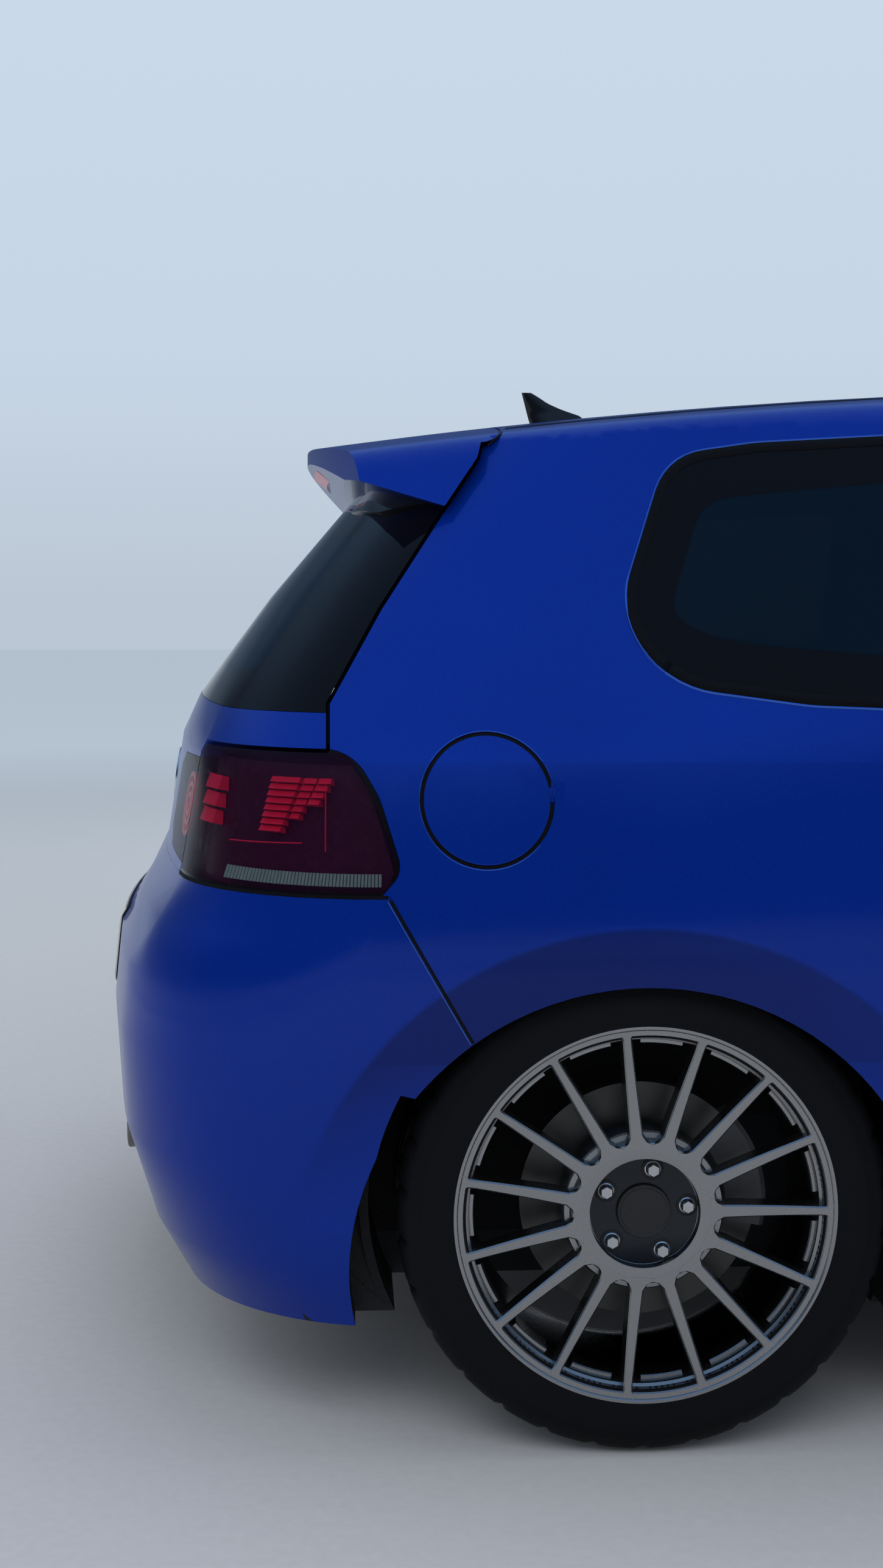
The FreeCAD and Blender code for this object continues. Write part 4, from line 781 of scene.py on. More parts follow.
TYRE_WALL = [(0.0995, 0.2290), (0.1030, 0.2300), (0.1048, 0.2350), (0.1062, 0.2400), (0.1086, 0.2452),
             (0.1098, 0.2490), (0.1088, 0.2530), (0.1094, 0.2620), (0.1094, 0.2720), (0.1080, 0.2830),
             (0.1068, 0.2850), (0.1050, 0.2950), (0.1005, 0.3035), (0.0950, 0.3092), (0.0880, 0.3130),
             (0.0800, 0.3150), (0.0700, 0.3163), (0.0575, 0.3172)]
TYRE_TREAD = [(0.0565, 0.3095), (0.0485, 0.3095), (0.0475, 0.3175), (0.0225, 0.3180), (0.0215, 0.3100),
              (0.0125, 0.3100), (0.0115, 0.3180), (0.0, 0.3180)]
BOLT_COLLAR = [(0.083, 0.0105), (0.0845, 0.0105), (0.0855, 0.0090), (0.083, 0.0085)]
BOLT_HEAD = [(0.083, 0.0001), (0.083, 0.0088), (0.0925, 0.0088), (0.0940, 0.0076), (0.0940, 0.0001)]
BOLT_POCKET = [(0.0832, 0.0145), (0.0842, 0.0138), (0.0840, 0.0108), (0.0830, 0.0106)]
WHEEL_CAP = [(0.0830, 0.0345), (0.0868, 0.0345), (0.0880, 0.0335), (0.0880, 0.0315), (0.0868, 0.0302),
             (0.0872, 0.0200), (0.0880, 0.0080), (0.0882, 0.0002), (0.0830, 0.0002)]


def rim_mesh():
    parts = [lathe(RIM_RING, 180), lathe(RIM_HUB, 120)]
    for i in range(SPOKES):
        turn = SPOKE_TURN + i * 360 / SPOKES
        parts += [spoke(turn), lathe(RIM_PAD, 8, turn + 5.0, 14.0)]
    return join(*parts)


def tyre_mesh():
    half = TYRE_WALL + TYRE_TREAD

    def blocks(j, u, r):
        """Cross grooves in the shoulder and in the tread's middle bands."""
        wide = abs(u)
        if 0.0575 <= wide <= 0.0952 and j % 7 == 0:
            return r - 0.0055 * min(1.0, (0.099 - wide) / 0.006)
        if 0.0225 <= wide <= 0.0476 and j % 7 == 3 and r > 0.317:
            return r - 0.004
        return r

    return lathe(half + [(-u, r) for u, r in reversed(half[:-1])], 210, reshape=blocks)


def at_bolts(*forms):
    """Turned forms, each a profile and its number of segments, at every bolt."""
    parts = []
    for i in range(BOLTS):
        a = math.radians(BOLT_TURN + 360 / BOLTS * i)
        cx, cz = BOLT_CIRCLE * math.sin(a), BOLT_CIRCLE * math.cos(a)
        for profile, count in forms:
            v, f = lathe(profile, count)
            parts.append(([(x + cx, u, z + cz) for x, u, z in v], f))
    return join(*parts)


def turned(parts, centre, side):
    """Wheel coordinates to the car's: u runs outwards."""
    verts, faces = parts
    return [(centre[0] - x * side, centre[1] + side * u, centre[2] + z) for x, u, z in verts], faces


WHEEL_PIECES = (
    ("rim_detail_", rim_mesh(), rim_metal(), 30.0, ("rim_",)),
    ("tyre_detail_", tyre_mesh(), tyre_rubber(), 38.0, ("tyre_",)),
    ("wheel_bolts_", at_bolts((BOLT_COLLAR, 24), (BOLT_HEAD, 6)), bolt_silver, 35.0, ()),
    ("bolt_pockets_", at_bolts((BOLT_POCKET, 28)), black_plastic, 35.0, ()),
    ("wheel_cap_", lathe(WHEEL_CAP, 64), wheel_cap, 35.0, ()),
)
brake_iron = disc_iron()
for end, axle_x in AXLES.items():
    for name, side in SIDES:
        corner = end + "_" + name
        centre = (axle_x, side * HALF_TRACK, AXLE_Z)
        for kind, form, shade, sharp, replaced in WHEEL_PIECES:
            piece(kind + corner, *turned(form, centre, side), shade, "wheel_" + corner, origin=centre,
                  sharp=sharp, replaces=[node + corner for node in replaced])
        give(brake_iron, "disc_" + corner)


# Outlines and placed forms
def rounded(points, radii, step=0.012):
    """A closed outline with rounded corners, as points at most 30 mm apart."""
    result = []
    for i, (point, radius) in enumerate(zip(points, radii)):
        here = Vector(point)
        a = (Vector(points[i - 1]) - here).normalized()
        b = (Vector(points[(i + 1) % len(points)]) - here).normalized()
        half = a.angle(b) / 2
        centre = here + (a + b).normalized() * radius / math.sin(half)
        start, end = here + a * radius / math.tan(half) - centre, here + b * radius / math.tan(half) - centre
        first = math.atan2(start.y, start.x)
        turn = (math.atan2(end.y, end.x) - first + math.pi) % (2 * math.pi) - math.pi
        angles = [first + turn * t for t in steps(max(3, int(abs(turn) * radius / step)))]
        result += [(centre.x + radius * math.cos(a), centre.y + radius * math.sin(a)) for a in angles]
    return fine(result + [result[0]], 0.03)


def offset(points, distance):
    """A closed outline moved outwards."""
    area = sum(p[0] * q[1] - q[0] * p[1] for p, q in zip(points, points[1:]))
    distance *= 1 if area > 0 else -1
    ring = points[:-1]
    result = []
    for i, p in enumerate(ring):
        a, b = ring[i - 1], ring[(i + 1) % len(ring)]
        d = math.dist(a, b)
        result.append((p[0] + distance * (b[1] - a[1]) / d, p[1] - distance * (b[0] - a[0]) / d))
    return result + [result[0]]


def circle(centre, radius, count=72):
    angles = [2 * math.pi * t for t in steps(count)]
    return [(centre[0] + radius * math.cos(a), centre[1] + radius * math.sin(a)) for a in angles]


def band(points, at, width, out, sink, crown=0.0):
    """A strip with a raised middle along points, each put on a surface by at(a, b, out)."""
    outer, inner = [], []
    shut = math.dist(points[0], points[-1]) < 1e-6
    for i, (a, b) in enumerate(points):
        before = points[i - 1] if i else (points[-2] if shut else points[0])
        after = points[i + 1] if i + 1 < len(points) else (points[1] if shut else points[-1])
        d = math.dist(before, after)
        na, nb = -(after[1] - before[1]) / d * width / 2, (after[0] - before[0]) / d * width / 2
        row = [(a + na * k, b + nb * k, k) for k in (-1, -0.6, 0, 0.6, 1)]
        outer.append([at(p, q, out + crown * (1 - k * k)) for p, q, k in row])
        inner.append([at(p, q, -sink) for p, q, k in row])
    return slab(outer, inner)


def seal(name, points, at, width, out, sink, crown=0.0, body="car_body"):
    """A black rubber strip: a seal, except over the bumper seam and in the fuel flap's gap, where it is a
    painted shadow.
    """
    piece(name, *band(points, at, width, out, sink, crown), rubber, body)


def on_side(side):
    return lambda x, z, out: side_point(x, z, out, side)


def placed(parts, centre, axis):
    """Turned form whose axle is laid along the given direction at the given centre."""
    turn = Vector(axis).to_track_quat("Y", "Z")
    return [Vector(centre) + turn @ Vector(v) for v in parts[0]], parts[1]


def prism(points, y0, y1, bevel=0.002):
    """An (x, z) outline carried from y0 to y1, with its end edges bevelled."""
    count = len(points)
    middle = (sum(p[0] for p in points) / count, sum(p[1] for p in points) / count)
    shrink = 1 - bevel / max(math.dist(p, middle) for p in points)
    small = [(between(middle[0], x, shrink), between(middle[1], z, shrink)) for x, z in points]
    rows = [(small, y0), (points, y0 + bevel), (points, y1 - bevel), (small, y1)]
    return [(x, y, z) for ring, y in rows for x, z in ring], capped(len(rows), count)


def roof_point(x, y, out=0.0):
    """A point on the roof, which bows along the car and is crowned across it."""
    top_x, top_z, bow, crown_z = -0.45, 1.425, 9.69, -2.575
    along = top_z - (bow - math.sqrt(bow ** 2 - (x - top_x) ** 2))
    return Vector((x, y, crown_z + math.sqrt((along - crown_z) ** 2 - y * y) + out))


def screen_point(y, z, out=0.0):
    """A point on the windscreen's outside."""
    foot_x, foot_z, run, rise, bow = 0.775, 0.960, 0.713, 0.440, 2.2
    steep = math.hypot(run, rise)
    x = foot_x - (z - foot_z) * run / rise - (bow - math.sqrt(bow ** 2 - y * y))
    return Vector((x + out * rise / steep, y, z + out * run / steep))


# Window seals with their width, rise, depth and crown; window lips, with a painted highlight; and seams of
# the body, the bumper's with a painted shadow
SEAL = (0.013, 0.0006, 0.004, 0.0016)
BUMPER_SEAM = fine([(-1.6875, 0.7265), (-1.5855, 0.5478)], 0.02)
GATE_SEAM = fine([(-1.5720, 1.2720), (-1.6215, 1.1990), (-1.6955, 1.0870), (-1.7645, 0.9650),
                  (-1.7645, 0.9150)], 0.03)
# Places along the half outline are divided by this, to bring them near the scale of heights
PLACE_SCALE = 20
LAMP_SEAM_Z = 0.7292
quarter, window = rounded(QUARTER_GLASS, QUARTER_RADII), rounded(DOOR_GLASS, DOOR_RADII)
for name, side in SIDES:
    at = on_side(side)
    seal("quarter_seal_" + name, quarter, at, *SEAL)
    # The window's lip is drawn in the lighter blue of a painted highlight
    lip = [at(x, z, -0.0004) for x, z in offset(quarter, 0.0078)]
    piece("quarter_lip_" + name, *tube(lip, 0.0019), edge_highlight_paint)
    seal("door_seal_" + name, window, at, *SEAL, "door_assembly_" + name)
    # The seam is drawn as a black strip on the surface: a painted shadow of the gap
    seal("bumper_seam_" + name, BUMPER_SEAM, at, 0.0036, 0.0004, 0.004)
    # The bumper's edge along the seam, in the lighter blue of a painted highlight
    edge = [at(x - 0.0030, z - 0.0016, -0.0003) for x, z in BUMPER_SEAM]
    piece("bumper_edge_" + name, *tube(edge, 0.0013), edge_highlight_paint)
    places = spread(place_of_y(0.62, 0.7295), place_of_x(-1.690, 0.7295), 24)
    seal("lamp_seal_" + name, [(place / PLACE_SCALE, LAMP_SEAM_Z) for place in places],
         lambda p, z, out: on_hull(p * PLACE_SCALE, z, out, side), 0.0045, 0.0005, 0.005)
    ditch = fine([(0.02, side * 0.485), (-1.515, side * 0.485)], 0.05)
    seal("roof_strip_" + name, ditch, roof_point, 0.012, 0.0004, 0.004, 0.0012)

for name, side in SIDES:
    seal("gate_seal_" + name, GATE_SEAM,
         lambda x, z, out: side_point(x, z, 0.0, side) + Vector((0.0, side * out, 0.0)),
         0.0032, -0.007, 0.014)

# Fuel flap: a black ring in its gap, a painted shadow; rims, the outer one with a painted highlight; and the
# sheet over the notch ahead of its pin
FLAP = (-1.566, 0.847)
FLAP_RIM, FLAP_GAP, FLAP_HOLE, FLAP_LIP = 0.0783, 0.0815, 0.0843, 0.0849
NOTCH_LOW, NOTCH_HIGH, NOTCH_FRONT = 0.7995, 0.8695, -1.4690
at = on_side(-1)
# A black ring sunk in the flap's gap: a painted shadow
seal("flap_seal", circle(FLAP, FLAP_GAP), at, 0.0052, -0.0016, 0.006)
# The lip around the flap's hole is in the lighter blue of a painted highlight; the flap's rim is plain paint
for name, ring, radius, shade, body in (
        ("flap_rim", circle(FLAP, FLAP_RIM), 0.0009, paint_plain, "fuel_lid"),
        ("flap_lip", circle(FLAP, FLAP_LIP)[4:65], 0.0010, edge_highlight_paint, "car_body")):
    piece(name, *tube([at(x, z, -0.0007) for x, z in ring], radius), shade, body)
notch = []
for z in spread(NOTCH_LOW, NOTCH_HIGH, 16):
    start = FLAP[0] + math.sqrt(FLAP_HOLE ** 2 - (z - FLAP[1]) ** 2)
    notch.append([(x, z) for x in spread(start, NOTCH_FRONT, 4)])
piece("flap_corner", *sheet(notch, at, 0.0002, 0.0007), paint_side)


# Tail lamps, whose bowls lie below the lens from the first of these depths to the second
BOWL = (-0.024, 0.030)


def hull_patch(rows, out, sink, side):
    """A sheet on the body's corner from rows of (z, first place, last place)."""
    grid = [[(place, z) for place in spread(first, last, 30)] for z, first, last in rows]
    return sheet(grid, lambda place, z, height: on_hull(place, z, height, side), out, sink)


def lamp_front(z):
    """The lamp's front edge at height z."""
    return float(np.interp(z, [p[1] for p in LAMP_EDGE], [p[0] for p in LAMP_EDGE]))


def facet(z0, z1, x0, x1, deep, side):
    """One reflector block: a short bar below the lens, its outer face tilted."""
    outer, inner = [], []
    for t in steps(2):
        row = [(x, between(z0, z1, t)) for x in spread(x0, x1, 6)]
        outer.append([side_point(x, z, -deep - 0.006 * t, side) for x, z in row])
        inner.append([side_point(x, z, -deep - 0.016, side) for x, z in row])
    return slab(outer, inner)


# First row, front and back x with their shift from row to row, and depth
FACETS = ((0, -1.858, 0.0022, -1.830, 0.0036, 0.006), (2, -1.826, 0.0036, -1.816, 0.0046, 0.009),
          (4, -1.812, 0.0046, -1.800, 0.0052, 0.007))
FACET_Z, FACET_PITCH, FACET_HIGH = 0.806, 0.0088, 0.0076
RIB_PITCH, RIB_WIDE, RIB_HEIGHTS = 0.0045, 0.0034, (0.7425, 0.7590)
for name, side in SIDES:
    rows = [(z, place_of_y(0.625, z), place_of_x(lamp_front(z) - 0.010, z)) for z in spread(0.736, 0.901, 12)]
    piece("lamp_bowl_" + name, *hull_patch(rows, *BOWL, side), lamp_dark)
    blocks = []
    for k in range(8):
        z = FACET_Z + FACET_PITCH * k
        for start, x0, shift0, x1, shift1, deep in FACETS:
            if k >= start:
                blocks.append(facet(z, z + FACET_HIGH, x0 + shift0 * k, x1 + shift1 * k, deep, side))
    for k in range(3):
        z = FACET_Z + 0.022 * k
        blocks.append(facet(z, z + 0.018, -1.944 + 0.004 * k, -1.924 + 0.004 * k, 0.007, side))
    piece("lamp_facets_" + name, *join(*blocks), lamp_red)
    upright = [side_point(-1.772, z, -0.012, side) for z in (0.785, 0.83, 0.875)]
    lying = [side_point(-1.900 + 0.014 * k, 0.790 + 0.0006 * k, -0.010, side) for k in range(8)]
    piece("lamp_lines_" + name, *join(tube(upright, 0.0008, 6), tube(lying, 0.0010, 6)), lamp_red)
    starts = [-1.905 + RIB_PITCH * k for k in range(46)]
    ribs = [facet(*RIB_HEIGHTS, x, x + RIB_WIDE, 0.006, side) for x in starts]
    piece("lamp_ribs_" + name, *join(*ribs), lamp_grey)
    grid = [[(side * y, z) for y in spread(0.405, 0.600, 10)] for z in (0.760, 0.795, 0.830, 0.865)]
    piece("tailgate_lamp_bowl_" + name, *sheet(grid, rear_point, *BOWL), lamp_dark,
          "tailgate_assembly")
    rings = []
    for r in (0.014, 0.028, 0.042):
        oval = [(side * 0.505 + 1.5 * a, 0.812 + b) for a, b in circle((0.0, 0.0), r, 36)]
        rings.append(band(oval, rear_point, 0.006, -0.008, 0.016))
    piece("tailgate_lamp_rings_" + name, *join(*rings), lamp_red, "tailgate_assembly")

# Tail: glass caps, stop lamp, wiper, badge covers, plates, reflectors, diffuser fins and exhaust tips
CAP_SHARES, CAP_LOW, CAP_HIGH = [0, 0.55, 1], [1.2225, 1.2130, 1.2290], [1.2660, 1.2520, 1.2340]
for name, side in SIDES:
    first, last = place_of_y(0.36, 1.22), place_of_x(-1.612, 1.225)
    outer, inner = [], []
    for t in steps(8):
        row = []
        for s in steps(16):
            low, high = np.interp(s, CAP_SHARES, CAP_LOW), np.interp(s, CAP_SHARES, CAP_HIGH)
            swell = 0.012 * math.sin(math.pi * min(1.0, s * 1.05 + 0.02)) ** 0.6
            swell *= math.sin(math.pi * (0.12 + 0.5 * t))
            row.append((between(first, last, s), float(between(low, high, t)), swell))
        outer.append([on_hull(place, z, 0.0015 + swell, side) for place, z, swell in row])
        inner.append([on_hull(place, z, -0.003, side) for place, z, swell in row])
    piece("glass_cap_" + name, *slab(outer, inner), gloss_black, "tailgate_assembly")

SPOILER_TIP, SPOILER_BOW = -1.801, 2.4
lamp_rows = []
for t in steps(3):
    row = []
    for y in spread(-0.17, 0.17, 24):
        edge = SPOILER_TIP + (SPOILER_BOW - math.sqrt(SPOILER_BOW ** 2 - y * y))
        row.append((edge + 0.014 + 0.020 * t, y, 1.3005 - 0.0165 * t))
    lamp_rows.append(row)
piece("stop_lamp", *moved_sheet(lamp_rows, (-0.0030, 0, -0.0036), (0.004, 0, 0.004)), lamp_red,
      "tailgate_assembly")
blade = [rear_point(y, 0.985 + 0.030 * (y / 0.58) ** 2, 0.005) for y in spread(0.16, 0.59, 16)]
arm = [rear_point(y, z, out) for y, z, out in (
    (0.22, 0.972, 0.007), (0.26, 0.978, 0.010), (0.32, 0.986, 0.010), (0.38, 0.996, 0.009))]
hub = lathe([(-0.008, 0.0001), (-0.008, 0.017), (0.007, 0.016), (0.010, 0.012), (0.010, 0.0001)], 32)
piece("rear_wiper", *join(tube(blade, 0.0045, 8, 1.2), tube(arm, [0.007, 0.007, 0.006, 0.005], 10, 0.6),
                          placed(hub, rear_point(0.22, 0.970, -0.001), (-0.8, 0.07, 0.6))),
      black_plastic, "tailgate_assembly")
badge = lathe([(-0.004, 0.0001), (-0.004, 0.049), (0.003, 0.049), (0.006, 0.0465), (0.0052, 0.043),
               (0.0065, 0.020), (0.007, 0.0001)], 72)
piece("tail_badge_cover", *placed(badge, rear_point(0.0, 0.805, 0.001), (-1, 0, 0.12)), chrome,
      "tailgate_assembly")
piece("nose_badge_cover", *placed(badge, front_point(0.0, 0.655, 0.004), (1, 0, 0.05)), chrome)


def board(at, half, low, high, out, sink, corner=0.008):
    """A thin sheet with rounded corners that follows the tail or the nose."""
    rows = []
    for z in spread(low, high, 8):
        short = max(0.0, corner - min(z - low, high - z))
        reach = half - corner + math.sqrt(max(0.0, corner ** 2 - short ** 2))
        rows.append([(reach * k / 12, z) for k in range(-12, 13)])
    return sheet(rows, at, out, sink)


PLATE_HALF, PLATE_RISE, HOLDER_EDGE = 0.260, 0.055, 0.006
for name, at, z in (("rear", rear_point, 0.565), ("front", front_point, 0.520)):
    half, rise = PLATE_HALF + HOLDER_EDGE, PLATE_RISE + HOLDER_EDGE
    piece(name + "_plate_holder", *board(at, half, z - rise, z + rise, 0.0030, 0.004), black_plastic)
    plate = board(at, PLATE_HALF, z - PLATE_RISE, z + PLATE_RISE, 0.0052, -0.002)
    piece(name + "_plate", *plate, plate_white)
for name, side in SIDES:
    line = fine([(side * 0.40, 0.335), (side * 0.54, 0.340)], 0.02)
    piece("rear_reflector_" + name, *band(line, rear_point, 0.022, 0.0010, 0.004, 0.0012), lamp_red)
fins = []
for y in (-0.40, -0.26, 0.26, 0.40):
    outside = [(rear_point(y, z, 0.006).x, z) for z in (0.285, 0.250, 0.215, 0.180)]
    fins.append(prism([(-1.925, 0.285)] + outside + [(-1.940, 0.180)], y - 0.005, y + 0.005))
piece("diffuser_fins", *join(*fins), black_plastic)
tip = lathe([(-0.090, 0.0355), (0.030, 0.0375), (0.036, 0.0380), (0.038, 0.0368), (0.036, 0.0352),
             (-0.080, 0.0335), (-0.080, 0.0001), (-0.090, 0.0001)], 48)
tips = [placed(tip, (-2.066, y, 0.226), (-1, 0, 0)) for y in (-0.050, 0.050)]
piece("exhaust_tips", *join(*tips), exhaust_steel)

# Doors: handles and mirror glasses
for name, side in SIDES:
    door = "door_assembly_" + name
    bows = [(t, math.sin(math.pi * t)) for t in steps(14)]
    grip = [side_point(-0.565 + 0.215 * t, 0.792 + 0.006 * bow, 0.004 + 0.024 * bow ** 0.45, side)
            for t, bow in bows]
    sizes = [0.007 + 0.004 * bow ** 0.5 for t, bow in bows]
    piece("door_handle_" + name, *tube(grip, sizes, 12, 1.25), paint_plain, door)
    line = fine([(-0.555, 0.794), (-0.360, 0.797)], 0.01)
    bowl = band(line, on_side(side), 0.050, 0.0002, 0.004, 0.0006)
    piece("door_handle_bowl_" + name, *bowl, black_plastic, door)
    across = spread(0.886, 1.014, 8)
    curve = np.interp(across, [0.872, 0.950, 1.026], [0.455, 0.432, 0.450])
    rows = [[(float(x), side * y, z) for x, y in zip(curve, across)] for z in spread(0.944, 1.058, 8)]
    piece("mirror_glass_" + name, *moved_sheet(rows, (-0.0022, 0, 0), (0.003, 0, 0)), mirror_silver, door)


# Nose: grille bars, lamps' insides and wipers
def crossings(lines, width, out, sink):
    """Level bars on the nose from (half length, z)."""
    return join(*[band(fine([(-half, z), (half, z)], 0.04), front_point, width, out, sink, 0.0015)
                  for half, z in lines])


bars = [(0.415, z) for z in (0.618, 0.636, 0.672, 0.690)]
piece("grille_bars", *crossings(bars, 0.009, 0.003, 0.004), gloss_black)
slats = ((0.438, 0.275), (0.448, 0.305), (0.458, 0.335), (0.468, 0.365), (0.480, 0.395), (0.474, 0.425))
piece("lower_grille_slats", *crossings(slats, 0.008, 0.002, 0.005), gloss_black)
for name, side in SIDES:
    rows = [(z, place_of_y(0.445, z, True), place_of_x(1.66, z)) for z in spread(0.616, 0.692, 8)]
    piece("head_lamp_bowl_" + name, *hull_patch(rows, *BOWL, side), gloss_black)
    glow = []
    for y, r in ((0.535, 0.030), (0.655, 0.033)):
        spot = [(0.0, 0.0001), (0.0, r), (0.014, r), (0.016, r - 0.003), (0.008, r - 0.007), (0.010, r * 0.4),
                (0.011, 0.0001)]
        glow.append(placed(lathe(spot, 40), front_point(side * y, 0.655, BOWL[0]), (1, 0, 0)))
    piece("head_lamp_optics_" + name, *join(*glow), chrome, slot="lamp_clear")
    low = [front_point(side * y, 0.6175, -0.010) for y in spread(0.45, 0.75, 14)]
    piece("day_lamp_" + name, *tube(low, 0.0035), plate_white, slot="lamp_clear")
    turn = [side_point(1.66 + 0.05 * k, 0.655 - 0.002 * k, -0.012, side) for k in range(4)]
    piece("nose_indicator_" + name, *tube(turn, 0.010, 10), amber)
for name, y0, y1 in (("left", 0.04, 0.60), ("right", -0.52, 0.02)):
    sweep = []
    for t in steps(16):
        y = between(y0, y1, t)
        sweep.append(screen_point(y, 0.968 + 0.018 * t - 0.035 * (y / 0.72) ** 2, 0.009))
    root = Vector((0.792, y1 - 0.03, 0.948))
    middle = (sweep[8] + root) / 2 + Vector((0.006, 0, 0.016))
    arm = tube([root, middle, sweep[8] + Vector((0.004, 0, 0.008))], [0.010, 0.007, 0.006], 8, 0.7)
    piece("front_wiper_" + name, *join(tube(sweep, 0.006, 8, 1.2), arm), black_plastic)


# Roof antenna
def fin(foot=1.378, top=1.437, ring=24):
    """The antenna's fin, level by level from the roof upwards."""
    heights = spread(foot, top, 16)
    verts = []
    for k, z in enumerate(heights):
        back = float(np.interp(z, [1.378, 1.395, 1.437], [-1.432, -1.437, -1.448]))
        front = float(np.interp(z, [1.378, 1.388, 1.400, 1.410, 1.420, 1.430, 1.437],
                                [-1.330, -1.336, -1.352, -1.382, -1.405, -1.420, -1.432]))
        wide = float(np.interp(z, [1.378, 1.390, 1.405, 1.437], [0.017, 0.013, 0.0075, 0.0035]))
        for j in range(ring):
            a = 2 * math.pi * j / ring
            x = (front + back) / 2 + (front - back) / 2 * math.cos(a)
            y = wide * math.sin(a) * (0.75 - 0.25 * math.cos(a))
            verts.append((x, y, z if k else roof_point(x, 0).z - 0.003))
    return verts, capped(len(heights), ring)


piece("antenna_fin", *fin(), gloss_black, sharp=50, replaces=("antenna",))


# Seats
def seat_cloth():
    """Grey cloth with a fine weave and fuzz."""
    shade = Shade("seat_cloth", (0.030, 0.031, 0.034), 0.85, "seat_fabric",
                  Sheen_Weight=0.35, Sheen_Roughness=0.5)
    x, y, z = shade.split()
    weave = shade.math("SINE", (x + z) * 2600.0) * shade.math("SINE", y * 2600.0)
    fuzz = shade.noise(1200.0, 4.0)
    tone = shade.mix(shade.span(weave, -1.0, 1.0), (0.018, 0.019, 0.021), (0.045, 0.046, 0.050))
    shade.set("Base Color", shade.mix(shade.span(fuzz, 0.3, 0.7, 0.0, 0.4), tone, (0.07, 0.07, 0.075)))
    shade.bump(weave + fuzz, 0.4, 0.0006)
    return shade


cloth = seat_cloth()


def pad(y_middle, path, widths, thick, grooves=(), cross=(), bolster=0.0, crown=0.012):
    """A crowned cushion along a path in side view, with sewn grooves along and across it."""
    step, stitch, ring = 0.008, 0.006, 56
    points = [Vector((x, 0, z)) for x, z in fine(path, step)]
    count = len(points)
    length = (count - 1) * step
    verts = []
    for i, p in enumerate(points):
        s = i / (count - 1)
        ahead = (points[min(i + 2, count - 1)] - points[max(i - 2, 0)]).normalized()
        up = Vector((-ahead.z, 0, ahead.x))
        if up.z < 0 or (abs(up.z) < 0.35 and up.x < 0):
            up = -up
        ends = min(1.0, min(s, 1 - s) * length / (thick * 0.45))
        full = math.sqrt(max(0.0, 1 - (1 - ends) ** 2))
        half = between(widths[0], widths[1], s) / 2 * (0.90 + 0.10 * full)
        deep = thick / 2 * (0.06 + 0.94 * full)
        for k in range(ring):
            a = 2 * math.pi * k / ring
            c, n = math.cos(a), math.sin(a)
            y = half * math.copysign(abs(c) ** 0.5, c)
            h = deep * math.copysign(abs(n) ** 0.55, n)
            if n > 0:
                h += crown * full * (1 - (y / half) ** 2)
                raised = max(0.0, min(1.0, (abs(y) / half - 0.52) / 0.2))
                h += bolster * full * raised * (1 if abs(c) < 0.995 else 0.4)
                for g in grooves:
                    h -= 0.008 * full * math.exp(-((abs(y) - g) / stitch) ** 2)
                for g in cross:
                    if abs(y) < (grooves[0] if grooves else half):
                        h -= 0.007 * full * math.exp(-((s - g) * length / stitch) ** 2)
            verts.append(p + Vector((0, y_middle + y, 0)) + up * h)
    return verts, capped(count, ring)


def cushion(name, replaced, fill, *form):
    """A soft piece of a seat."""
    made = piece(name, *pad(*form), cloth, sharp=60, replaces=(replaced,))


SEAT_X = -0.060
SEAT_FRAME = [(SEAT_X - 0.21, 0.228), (SEAT_X + 0.24, 0.228), (SEAT_X + 0.27, 0.385), (SEAT_X - 0.16, 0.345),
              (SEAT_X - 0.235, 0.38)]
for name, side in SIDES:
    y = side * 0.370
    cushion("front_cushion_" + name, "front_seats", 0.75, y,
            [(SEAT_X + 0.285, 0.425), (SEAT_X - 0.150, 0.385)],
            (0.48, 0.46), 0.125, (0.145,), (0.35, 0.65), 0.020)
    cushion("front_back_" + name, "front_seats", 0.75, y, [(SEAT_X - 0.175, 0.455), (SEAT_X - 0.345, 0.985)],
            (0.48, 0.42), 0.105, (0.140,), (0.3, 0.55, 0.8), 0.022)
    cushion("front_head_rest_" + name, "front_seats", 0.85, y,
            [(SEAT_X - 0.365, 1.010), (SEAT_X - 0.398, 1.140)], (0.26, 0.22), 0.080)
    posts = [tube([(SEAT_X - 0.350, y + k, 0.96), (SEAT_X - 0.372, y + k, 1.04)], 0.006, 10)
             for k in (-0.06, 0.06)]
    piece("seat_frame_" + name, *join(prism(SEAT_FRAME, y - 0.20, y + 0.20, 0.01), *posts), black_plastic,
          replaces=("front_seats",))
cushion("rear_cushion", "rear_seat", 0.75, 0.0, [(-0.765, 0.450), (-1.130, 0.420)], (1.16, 1.14), 0.120,
        (0.19,), (0.5,))
cushion("rear_back", "rear_seat", 0.75, 0.0, [(-1.165, 0.480), (-1.325, 0.985)], (1.16, 1.08), 0.100,
        (0.19,), (0.35, 0.7))
for name, side in SIDES:
    cushion("rear_head_rest_" + name, "rear_seat", 0.85, side * 0.36, [(-1.335, 0.995), (-1.352, 1.055)],
            (0.26, 0.24), 0.060)
REAR_BASE = [(-0.775, 0.228), (-1.110, 0.228), (-1.110, 0.386), (-1.265, 0.386), (-1.240, 0.420),
             (-1.150, 0.380), (-0.775, 0.395)]
piece("rear_seat_base", *prism(REAR_BASE, -0.57, 0.57, 0.01), black_plastic, replaces=("rear_seat",))
SHELF = [(-1.400, 0.905), (-1.640, 0.905), (-1.640, 0.920), (-1.400, 0.922)]
piece("parcel_shelf", *prism(SHELF, -0.600, 0.600, 0.004), felt)

